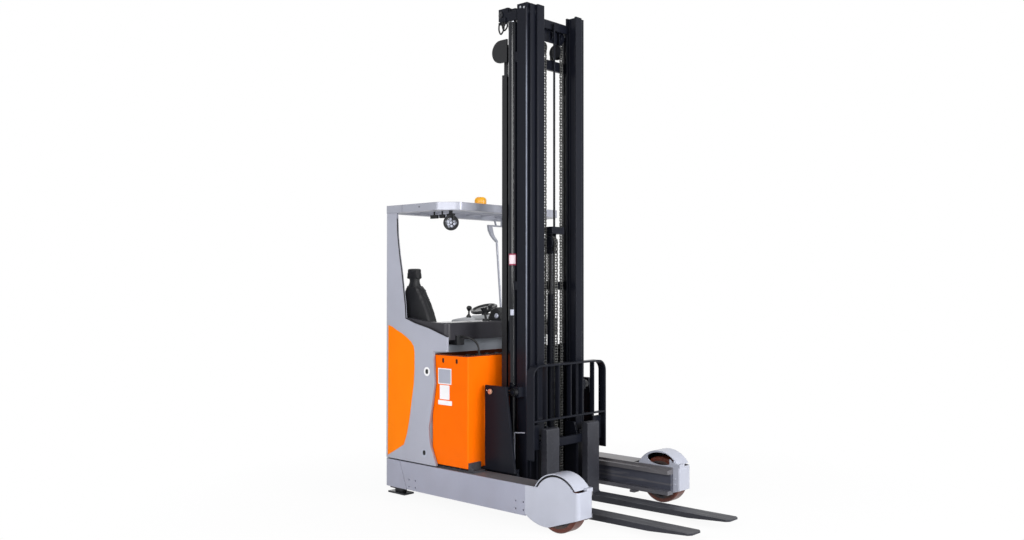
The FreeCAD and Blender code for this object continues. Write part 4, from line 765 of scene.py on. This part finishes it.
def add_back():
    low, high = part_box("seat_backrest")
    centre, full = (low.x + high.x) / 2, (high.x - low.x) / 2
    front = (low.y + high.y) / 2

    def half_at(z):
        """Half width of the back at a height: narrowing from the shoulders to the headrest."""
        share = (z - low.z) / (high.z - low.z)
        for (s0, w0), (s1, w1) in zip(BACK_STATIONS, BACK_STATIONS[1:]):
            if share <= s1:
                return full * (w0 + (w1 - w0) * (share - s0) / (s1 - s0))
        return full * BACK_STATIONS[-1][1]

    def lean(z):
        """Sideways lean of the back's upper half towards the rear wall."""
        return -BACK_LEAN * max(0.0, (z - LEAN_FROM_Z) / (high.z - LEAN_FROM_Z)) ** 1.3

    def across(p):
        return p.x - centre - lean(p.z)

    def back(place, share):
        side = (share[0] - 0.5) * 2
        bolster = abs(side) ** 4
        forward = 0.008 * bolster if share[1] > 0.5 else 0.0
        return Vector((centre + lean(place.z) + side * (half_at(place.z) - 0.008),
                       place.y + forward - 0.006 * (1 - bolster) * share[1], place.z))

    def inward(p):
        if abs(across(p)) > half_at(p.z) - BACK_WELT and abs(p.y - front) < 0.015:
            return Vector((-math.copysign(0.6, across(p)), 0, 0))
        return Vector((0, -1, 0))

    seams = [lambda p: abs(abs(across(p)) - (half_at(p.z) - BACK_BORDER)) if p.y > front and p.z < 1.46 else 1.0]
    for z in (1.02, 1.12, 1.22, 1.32):
        seams.append(lambda p, z=z: abs(p.z - z) if p.y > front and abs(across(p)) < half_at(p.z) - BACK_BORDER
                     else 1.0)
    seams.append(lambda p: abs(p.y - front) if abs(across(p)) > half_at(p.z) - BACK_WELT else 1.0)
    seat_piece("seat_back_cover", "seat_backrest", back, (0.008, 0.008, 0.008), 0.01, seams, inward)


def add_headrest():
    """Headrest and the moulded neck that carries it."""
    low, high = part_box("headrest")
    centre = (low + high) / 2
    middle_x = low.x + 0.062

    def head(place, share):
        side, crown = (share[0] - 0.5) * 2, (share[2] - 0.5) * 2
        taper = 0.7 * (1 - 0.08 * crown)
        return Vector((middle_x + (place.x - centre.x) * taper, place.y - 0.004 * side * side,
                       place.z - 0.006 * side ** 4 * (1 if crown > 0 else -1)))

    def inward(p):
        return Vector((middle_x - p.x, 0, centre.z - p.z)).normalized() * 0.6

    seat_piece("headrest_cover", "headrest", head, (0.008, 0.008, 0.008), 0.009,
               [lambda p: abs(p.y - centre.y)], inward, 0.012)
    bm = bmesh.new()
    foot = Vector((middle_x, centre.y, low.z - 0.05))
    turned(bm, [(0.062, 0.0), (0.058, 0.015), (0.05, 0.03), (0.047, 0.045), (0.05, 0.064)], foot, UP, 28)
    for vert in bm.verts:
        vert.co.y = foot.y + (vert.co.y - foot.y) * 0.55
    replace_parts(finish_piece("headrest_neck", bm, "black_plastic"), "headrest_posts")


add_cushion()
add_back()
add_headrest()


# ------------------------ side panel, its stripe and small fittings
LET_IN = 0.0003                # how far a plate or stripe is let into the face under it
PANEL_FACE, PANEL_BACK = 0.63, 0.612
PANEL_REAR, PANEL_FOOT, PANEL_TOP = -1.611, 0.273, 2.059
FLAP_EDGE = ((-0.98, 1.174), (-0.98, 1.074), (-1.117, 1.07), (-1.112, 0.97), (-1.104, 0.845),
             (-1.13, 0.696), (-1.162, 0.532), (-1.157, 0.47), (-1.148, 0.415), (-1.119, 0.349),
             (-1.09, 0.29), (-1.086, PANEL_FOOT))
LEDGE = ((-1.414, 1.292), (-1.309, 1.26), (-1.164, 1.229), (-1.06, 1.197))
PILLAR_EDGE = ((-1.512, 2.018), (-1.506, 1.899), (-1.484, 1.753), (-1.462, 1.644), (-1.439, 1.499),
               (-1.42, 1.384))


def add_side_panel():
    """Moulded right side panel: outer skin, rounded rear corner and the column that carries the guard."""
    column_back = -0.57
    bm = bmesh.new()
    skin = ((PANEL_REAR, PANEL_FOOT), (PANEL_REAR, PANEL_TOP), (-1.514, PANEL_TOP)) + PILLAR_EDGE + LEDGE + FLAP_EDGE
    sheet(bm, skin, (-PANEL_FACE, -PANEL_BACK))
    corner = [at(-1.61 + x, -0.6 + y, PANEL_FOOT) for x, y in arc(0.03, 180, 270, 6)]
    corner += [at(-1.61, column_back, PANEL_FOOT), at(-1.64, column_back, PANEL_FOOT)]
    prism(bm, corner, (0, 0, PANEL_TOP - PANEL_FOOT))
    column = ((PANEL_REAR, PANEL_FOOT), (PANEL_REAR, PANEL_TOP), (-1.58, PANEL_TOP), (-1.574, 1.99),
              (-1.53, 1.65), (-1.484, 1.384), (-1.474, 1.297), (-1.409, 1.288), (-1.166, 1.193),
              (-1.166, PANEL_FOOT))
    sheet(bm, column, (-PANEL_BACK, column_back))
    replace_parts(finish_piece("side_panel_shell", bm, "silver_paint"), "side_panel_right")


def add_seals():
    """Rubber beads along the front edges of the side panel's pillar and ledge."""
    pillar = [at(x + 0.003, -0.6255, z) for x, z in PILLAR_EDGE + LEDGE[:1]]
    ledge = [at(x, -0.6205, z + 0.001) for x, z in LEDGE + FLAP_EDGE[:1]]
    for name, edge, radius in (("pillar_seal", pillar, 0.0042), ("ledge_seal", ledge, 0.0045)):
        bm = bmesh.new()
        swept(bm, smooth_path(edge, 4), radius, 8)
        finish_piece(name, bm, "cable_rubber")


SWOOSH = ((-1.601, 1.241), (-1.556, 1.23), (-1.516, 1.211), (-1.45, 1.186), (-1.395, 1.158), (-1.35, 1.13),
          (-1.32, 1.096), (-1.312, 1.05), (-1.312, 0.936), (-1.319, 0.829), (-1.344, 0.692), (-1.364, 0.576),
          (-1.39, 0.47), (-1.424, 0.386), (-1.5, 0.345), (-1.605, 0.29))
LEFT_SWOOSH = ((-1.601, 1.146), (-1.54, 1.132), (-1.47, 1.104), (-1.41, 1.064), (-1.378, 1.01),
               (-1.37, 0.93), (-1.372, 0.829), (-1.38, 0.692), (-1.392, 0.576), (-1.412, 0.47),
               (-1.44, 0.386), (-1.51, 0.345), (-1.605, 0.29))


def add_stripes():
    paint = painted("stripe_enamel", "fa7e00", 0.42, 0.08, worn="ffb469", wear=0.15, dust=0.08)
    for name, outline, side in (("right", SWOOSH, -1), ("left", LEFT_SWOOSH, 1)):
        bm = bmesh.new()
        sheet(bm, outline, (side * (PANEL_FACE - LET_IN), side * (PANEL_FACE + 0.0007)))
        finish_piece("side_stripe_" + name, bm, "battery_paint", material=paint)


BATTERY_FACE = 0.606
LABEL_WHITE = painted("label_film", "e9e8ea", 0.4, 0.3, worn="cfcfd2", wear=0.3, dust=0.1)
LABEL_GREY = painted("label_metal", "a5a8b6", 0.34, 0.4, metallic=0.3, worn="d0d2d8", wear=0.4)
LABEL_CRIMSON = painted("label_border", "8a2444", 0.4, 0.3, worn="d98aa0", wear=0.2)
LABEL_PINK = painted("label_face", "dfccd3", 0.4, 0.3, worn="ffffff", wear=0.2)


def label(name, x, z, face, material, radius=0.004, lift=0.0006):
    """Blank plate with round corners on an upright face of the truck's right side."""
    bm = bmesh.new()
    sheet(bm, plate_corners(x, z, radius), (LET_IN - face, -face - lift))
    finish_piece(name, bm, "hood_plastic", material=material)


def add_labels():
    label("battery_plate_border", (-1.09, -0.958), (0.846, 0.956), BATTERY_FACE, LABEL_WHITE)
    label("battery_plate_face", (-1.083, -0.965), (0.853, 0.949), BATTERY_FACE, LABEL_GREY, 0.003, 0.001)
    label("battery_label_tall", (-1.074, -0.977), (0.741, 0.84), BATTERY_FACE, LABEL_WHITE)
    label("battery_label_strip", (-1.09, -0.952), (0.702, 0.734), BATTERY_FACE, LABEL_WHITE)
    for number, x, z, material in (("1", -1.182, 0.926, LABEL_WHITE), ("2", -1.208, 0.353, LABEL_GREY)):
        label("panel_mark_" + number, (x - 0.031, x + 0.031), (z - 0.032, z + 0.032), PANEL_FACE, material, 0.03)
        label("panel_mark_dot_" + number, (x - 0.014, x + 0.014), (z - 0.017, z + 0.017), PANEL_FACE,
              SLOT_MATERIALS["black_plastic"], 0.012, 0.001)


def curved_label(name, z, turns, radius, material):
    """Blank sticker wrapped on the right lift cylinder."""
    bm = bmesh.new()
    outline = arc(radius, *turns, 10) + arc(0.0357, *turns, 10)[::-1]
    prism(bm, [at(-0.67 + x, -0.289 + y, z[0]) for x, y in outline], (0, 0, z[1] - z[0]))
    finish_piece(name, bm, "hood_plastic", "outer_mast", material)


def add_mast_stickers():
    curved_label("mast_sticker_border", (1.672, 1.752), (-106, -16), 0.0364, LABEL_CRIMSON)
    curved_label("mast_sticker_face", (1.681, 1.743), (-99, -23), 0.0367, LABEL_PINK)
    curved_label("mast_sticker_low", (1.326, 1.366), (-84, -40), 0.0366, LABEL_GREY)


def add_work_light():
    """Round lamp under the guard: bowl, rim, reflector dishes and clear front."""
    centre = at(-1.086, -0.49, 1.977)
    face = Vector((0.8, -0.59, -0.1))
    bm = bmesh.new()
    turned(bm, [(0.0, -0.052), (0.022, -0.05), (0.04, -0.04), (0.05, -0.02), (0.054, 0.0), (0.056, 0.006),
                (0.054, 0.012), (0.044, 0.012), (0.042, 0.004), (0.0, 0.004)], centre, face, 40)
    for x in (-1.116, -1.056):
        box_piece(bm, (x - 0.006, -0.498, 1.99), (x + 0.006, -0.486, 2.034))
    box_piece(bm, (-1.122, -0.502, 2.03), (-1.05, -0.482, 2.04))
    box_piece(bm, (-1.098, -0.5, 2.038), (-1.074, -0.484, 2.066))
    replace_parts(finish_piece("work_lamp_bowl", bm, "black_plastic"), "work_light")
    bm = bmesh.new()
    turned(bm, [(0.0405, 0.0035), (0.0405, 0.0055), (0.034, 0.0075), (0.0, 0.0085)], centre, face, 36)
    glass = Graph("lamp_glass", 0.12, 0.4, 0.5, 0.4, 0.05)
    ring = glass.ramp(glass.cells(46.0), 0.1, 0.6)
    glazed = glass.finished(glass.mix(ring, rgb("8b8e97"), rgb("26272c")), grain=(glass.cells(60.0), 0.3, 0.001))
    finish_piece("work_lamp_front", bm, "hood_plastic", material=glazed)
    bm = bmesh.new()
    _, u, v = frame_of(face)
    for a, b in [(0.0, 0.0)] + arc(0.024, 0, 300, 5):
        turned(bm, [(0.0085, 0.005), (0.0085, 0.0085), (0.007, 0.01), (0.0, 0.0108)],
               centre + u * a + v * b, face, 14)
    finish_piece("work_lamp_dishes", bm, "hood_plastic", material=LABEL_GREY)


def add_guard_fittings():
    """Seam of the guard's side, a dark disc as painted shade in its hole, and two small boxes under its right edge.
    """
    bm = bmesh.new()
    box_piece(bm, (-1.4505, -0.6325, 2.06), (-1.4485, -0.63, 2.1145), 0.0003)
    # painted shade: the hole is drawn as a dark disc
    turned(bm, [(0.0055, 0.0), (0.0055, 0.0008)], at(-1.265, -0.6316, 2.09), -ACROSS, 14)
    finish_piece("guard_seam_and_hole_shade", bm, "cable_rubber")
    bm = bmesh.new()
    for x0, x1 in ((-1.283, -1.212), (-1.188, -1.142)):
        middle = (x0 + x1) / 2
        box_piece(bm, (x0, -0.512, 2.012), (x1, -0.488, 2.037), 0.004)
        box_piece(bm, (middle - 0.006, -0.504, 2.036), (middle + 0.006, -0.496, 2.062), 0.001)
    finish_piece("guard_boxes", bm, "black_plastic")


def add_cab_fittings():
    """Lever with its ball grip beside the wheel, and the round display on the pod's side."""
    bm = bmesh.new()
    foot = at(-1.3, -0.1, 1.292)
    turned(bm, [(0.02, 0.0), (0.019, 0.006), (0.012, 0.016), (0.007, 0.024), (0.0065, 0.045), (0.012, 0.052),
                (0.019, 0.062), (0.021, 0.072), (0.017, 0.082), (0.008, 0.087), (0.0, 0.088)],
           foot, (0.18, -0.1, 1.0), 22)
    finish_piece("drive_lever", bm, "black_plastic")
    bm = bmesh.new()
    dome = at(-1.062, -0.043, 1.306)
    turned(bm, [(0.019, 0.0), (0.019, 0.004), (0.016, 0.007), (0.01, 0.009), (0.0, 0.01)], dome,
           (0.1, -1.0, 0.15), 26)
    finish_piece("display_face", bm, "hood_plastic", material=LABEL_GREY)


def add_valves():
    """Valve group with its cap, hose loops and manifold at the middle stage's head."""
    bm = bmesh.new()
    for x, y, z, radius, length in ((-0.776, -0.29, 3.425, 0.012, 0.03), (-0.742, -0.285, 3.43, 0.009, 0.024)):
        turned(bm, [(radius, 0.0), (radius, length * 0.6), (radius * 0.7, length * 0.62), (radius * 0.7, length)],
               at(x, y, z), UP, 10)
    box_piece(bm, (-0.77, -0.325, 3.372), (-0.716, -0.285, 3.404), 0.004)
    for x in (-0.775, -0.748, -0.722):
        turned(bm, [(0.009, 0.0), (0.009, 0.012), (0.0065, 0.013), (0.0065, 0.02)], at(x, -0.305, 3.38), DOWN, 6)
    finish_piece("mast_valves", bm, "mast_paint", "middle_mast")
    bm = bmesh.new()
    turned(bm, [(0.027, 0.0), (0.027, 0.006), (0.021, 0.01), (0.013, 0.01), (0.012, 0.015), (0.0, 0.016)],
           at(-0.77, -0.309, 3.428), (-0.35, -0.9, 0.0), 28)
    finish_piece("valve_cap", bm, "bright_steel", "middle_mast", DARK_STEEL)
    bm = bmesh.new()
    top = 3.378
    for x0, x1, drop, y in ((-0.784, -0.744, 0.085, -0.312), (-0.76, -0.722, 0.06, -0.3),
                            (-0.748, -0.728, 0.04, -0.318)):
        shoulder = top - drop * 0.6
        loop = [at(x0, y, top), at(x0 - 0.003, y, shoulder), at((x0 + x1) / 2, y - 0.004, top - drop),
                at(x1 + 0.003, y, shoulder), at(x1, y, top)]
        swept(bm, smooth_path(loop, 6), 0.0055, 10)
    finish_piece("valve_hoses", bm, "cable_rubber", "middle_mast")
    block_piece("mast_manifold", "mast_paint", "middle_mast", (
        ((-0.738, -0.311, 3.376), (-0.622, -0.252, 3.44), 0.006),
        ((-0.725, -0.306, 3.438), (-0.69, -0.262, 3.466), 0.004),
        ((-0.676, -0.302, 3.438), (-0.64, -0.262, 3.458), 0.004)))


def add_mast_plates():
    """Sheave bracket, and the cross plate with its ribs behind the chains."""
    block_piece("sheave_bracket", "mast_paint", "middle_mast", (
        ((-0.613, -0.13, 3.272), (-0.606, 0.165, 3.4), 0.001),
        ((-0.64, -0.13, 3.272), (-0.612, -0.122, 3.4), 0.001),
        ((-0.64, 0.116, 3.272), (-0.612, 0.124, 3.4), 0.001)))
    block_piece("mast_cross_plate", "mast_paint", "outer_mast", (
        ((-0.7, -0.236, 0.3), (-0.6965, 0.263, 1.1), 0.0008),
        ((-0.713, 0.238, 0.3), (-0.7095, 0.318, 1.1), 0.0008)) + tuple(
            ((-0.709, -0.236, z), (-0.699, 0.25, z + 0.012), 0.002) for z in (0.42, 0.66, 0.9)))


def add_rail_highlights():
    """Light strips on the outer rails' front corners: a painted highlight, brightest over the middle of their
    height.
    """
    highlight_graph = Graph("painted_rail_highlight", 0.25, 0.2, 0.4)
    height = highlight_graph.axis("Z")
    # painted highlight: light over the middle of the height, dark at both ends
    length = highlight_graph.times(highlight_graph.ramp(height, 0.7, 1.6), highlight_graph.ramp(height, 2.9, 3.35, 1.0, 0.0))
    painted_highlight = highlight_graph.finished(highlight_graph.wash(rgb("23252e"), "868c9c", length,
                                         highlight_graph.patches(14.0, 3.0, 0.3, 0.7, 0.75, 1.0)))
    corner = ((-0.536, 0.3095), (-0.535, 0.3108), (-0.5295, 0.3112), (-0.5265, 0.3106), (-0.5255, 0.3095))
    for side, name in SIDES:
        bm = bmesh.new()
        prism(bm, [at(x, side * y, 0.33) for x, y in corner], (0, 0, 3.11))
        finish_piece("rail_highlight_" + name, bm, "bright_steel", "outer_mast", painted_highlight)


def add_mast_bolts():
    """Bolts at the outer stage's head, and the bright strip bolted low on its right side."""
    bm = bmesh.new()
    for x, z in ((-0.587, 3.452), (-0.553, 3.445)):
        bolt_head(bm, at(x, -0.3095, z), -ACROSS, 0.006, 0.005)
    finish_piece("mast_top_bolts", bm, "bright_steel", "outer_mast")
    bm = bmesh.new()
    sheet(bm, ((-0.556, 0.535), (-0.462, 0.543), (-0.462, 0.549), (-0.56, 0.541), (-0.56, 0.326),
               (-0.552, 0.326), (-0.552, 0.53)), (-0.404, -0.398))
    for z in (0.36, 0.5):
        bolt_head(bm, at(-0.556, -0.4035, z), -ACROSS, 0.0045, 0.004)
    finish_piece("mast_side_strip", bm, "bright_steel", "outer_mast", LABEL_GREY)


def add_pins():
    """Copper-coloured tilt pins in the carriage's side plates, each with its lock bolt."""
    copper = steel("copper_pin", "b78a74", 0.4, metallic=0.35)
    for side, name in SIDES:
        outward = ACROSS * side
        bm = bmesh.new()
        turned(bm, [(0.018, -0.0085), (0.018, 0.0025), (0.0155, 0.004), (0.0, 0.0048)],
               at(-0.723, side * 0.4687, 0.807), outward, 28)
        finish_piece("tilt_pin_" + name, bm, "bright_steel", "reach_carriage", copper)
        bm = bmesh.new()
        bolt_head(bm, at(-0.762, side * 0.4595, 0.812), outward, 0.0045, 0.004)
        finish_piece("tilt_pin_lock_" + name, bm, "bright_steel", "reach_carriage")


DOME_Z = 0.175                 # centre of the load wheel covers' domes


def add_wheel_dome_shade():
    """Dark layer inside the dome over each load wheel, round its arc and on its outer wall: painted shade inside the
    dome.
    """
    layers = ((0.1855, 0.183, 0.505, 0.121), (0.183, 0.12, 0.6245, 0.0018))
    for side, name in SIDES:
        bm = bmesh.new()
        # painted shade: dark sheets where the dome's inside is in shade
        for outer, inner, y, depth in layers:
            outline = arc(outer, 41, 149, 24) + arc(inner, 41, 149, 24)[::-1]
            prism(bm, [at(x, side * y, DOME_Z + z) for x, z in outline], (0, side * depth, 0))
        finish_piece("wheel_dome_shade_" + name, bm, "cable_rubber")


def add_battery_edging():
    """Dark strip along the battery case's upper edge at the right and the front."""
    block_piece("battery_lip", "cable_rubber", "chassis", (
        ((-1.15, -0.6068, 1.046), (-0.796, -0.6052, 1.0515), 0.0004),
        ((-0.7975, -0.606, 1.046), (-0.7962, 0.606, 1.0515), 0.0004)))


for build in (add_side_panel, add_seals, add_stripes, add_labels, add_mast_stickers, add_work_light,
              add_guard_fittings, add_cab_fittings, add_valves, add_mast_plates, add_rail_highlights, add_mast_bolts,
              add_pins, add_wheel_dome_shade, add_battery_edging):
    build()


# ------------------------ floor, backdrop and lamps
def seen_rays(tree):
    """1 for rays that show the surroundings, straight, in gloss or through glass, and 0 for light."""
    rays = tree.nodes.new("ShaderNodeLightPath").outputs
    seen = rays["Is Camera Ray"]
    for name in ("Is Glossy Ray", "Is Transmission Ray"):
        most = tree.nodes.new("ShaderNodeMath")
        most.operation = "MAXIMUM"
        tree.links.new(seen, most.inputs[0])
        tree.links.new(rays[name], most.inputs[1])
        seen = most.outputs[0]
    return seen


def blend_shaders(tree, factor, first, second, output):
    blend = tree.nodes.new("ShaderNodeMixShader")
    for value, socket in zip((factor, first.outputs[0], second.outputs[0]), blend.inputs):
        tree.links.new(value, socket)
    tree.links.new(blend.outputs[0], tree.nodes[output].inputs["Surface"])


def add_floor():
    """Pale floor that fades into the white surroundings away from the truck and keeps its shadow."""
    half = 60.0
    fade_from, fade_to, near_white = 1.5, 3.0, 0.93
    mesh = bpy.data.meshes.new("floor")
    mesh.from_pydata([(-half, -half, 0), (half, -half, 0), (half, half, 0), (-half, half, 0)], [], [(0, 1, 2, 3)])
    floor = add_object("floor", mesh)
    graph = Graph("floor_white", 0.9, 0.0, 0.1)
    graph.feed("Base Color", graph.mix(graph.patches(3.0, 2.0, 0.3, 0.7), (0.8, 0.8, 0.8, 1),
                                       (0.82, 0.82, 0.82, 1)))
    length = graph.node("VectorMath")
    length.operation = "LENGTH"
    graph.put(length.inputs[0], graph.place)
    far = graph.ramp(length.outputs["Value"], fade_from, fade_to, near_white, 1.0)
    blend_shaders(graph.tree, graph.times(far, seen_rays(graph.tree)), graph.shader,
                  graph.node("Emission", Strength=1.0), "Material Output")
    mesh.materials.append(graph.material)


def add_world(light):
    """Soft light from all round, seen as white."""
    world = bpy.data.worlds.new("surroundings")
    world.use_nodes = True
    bpy.context.scene.world = world
    tree = world.node_tree
    lit = tree.nodes["Background"]
    lit.inputs["Color"].default_value = (0.96, 0.98, 1.0, 1.0)
    lit.inputs["Strength"].default_value = light
    shown = tree.nodes.new("ShaderNodeBackground")
    shown.inputs["Color"].default_value = (1.0, 1.0, 1.0, 1.0)
    blend_shaders(tree, seen_rays(tree), lit, shown, "World Output")


def add_light(name, place, aim_z, width, height, watts):
    """Area lamp turned towards a height on the truck's middle line."""
    data = bpy.data.lights.new(name, "AREA")
    data.shape = "RECTANGLE"
    data.size = width
    data.size_y = height
    data.energy = watts
    lamp = add_object(name, data)
    lamp.location = place
    lamp.rotation_euler = (Vector((0, 0, aim_z)) - Vector(place)).to_track_quat("-Z", "Y").to_euler()


add_floor()
add_world(0.36)
add_light("key", (1.5, -6.5, 3.2), 1.1, 2.6, 3.4, 290)
add_light("front", (6.5, 1.0, 2.6), 0.9, 2.4, 3.0, 440)
add_light("rear", (-6.0, 4.0, 4.5), 1.2, 4.0, 4.0, 115)
add_light("strip", (5.2, -5.6, 2.2), 1.4, 0.1, 4.4, 80)

bpy.context.scene.view_settings.view_transform = "Standard"
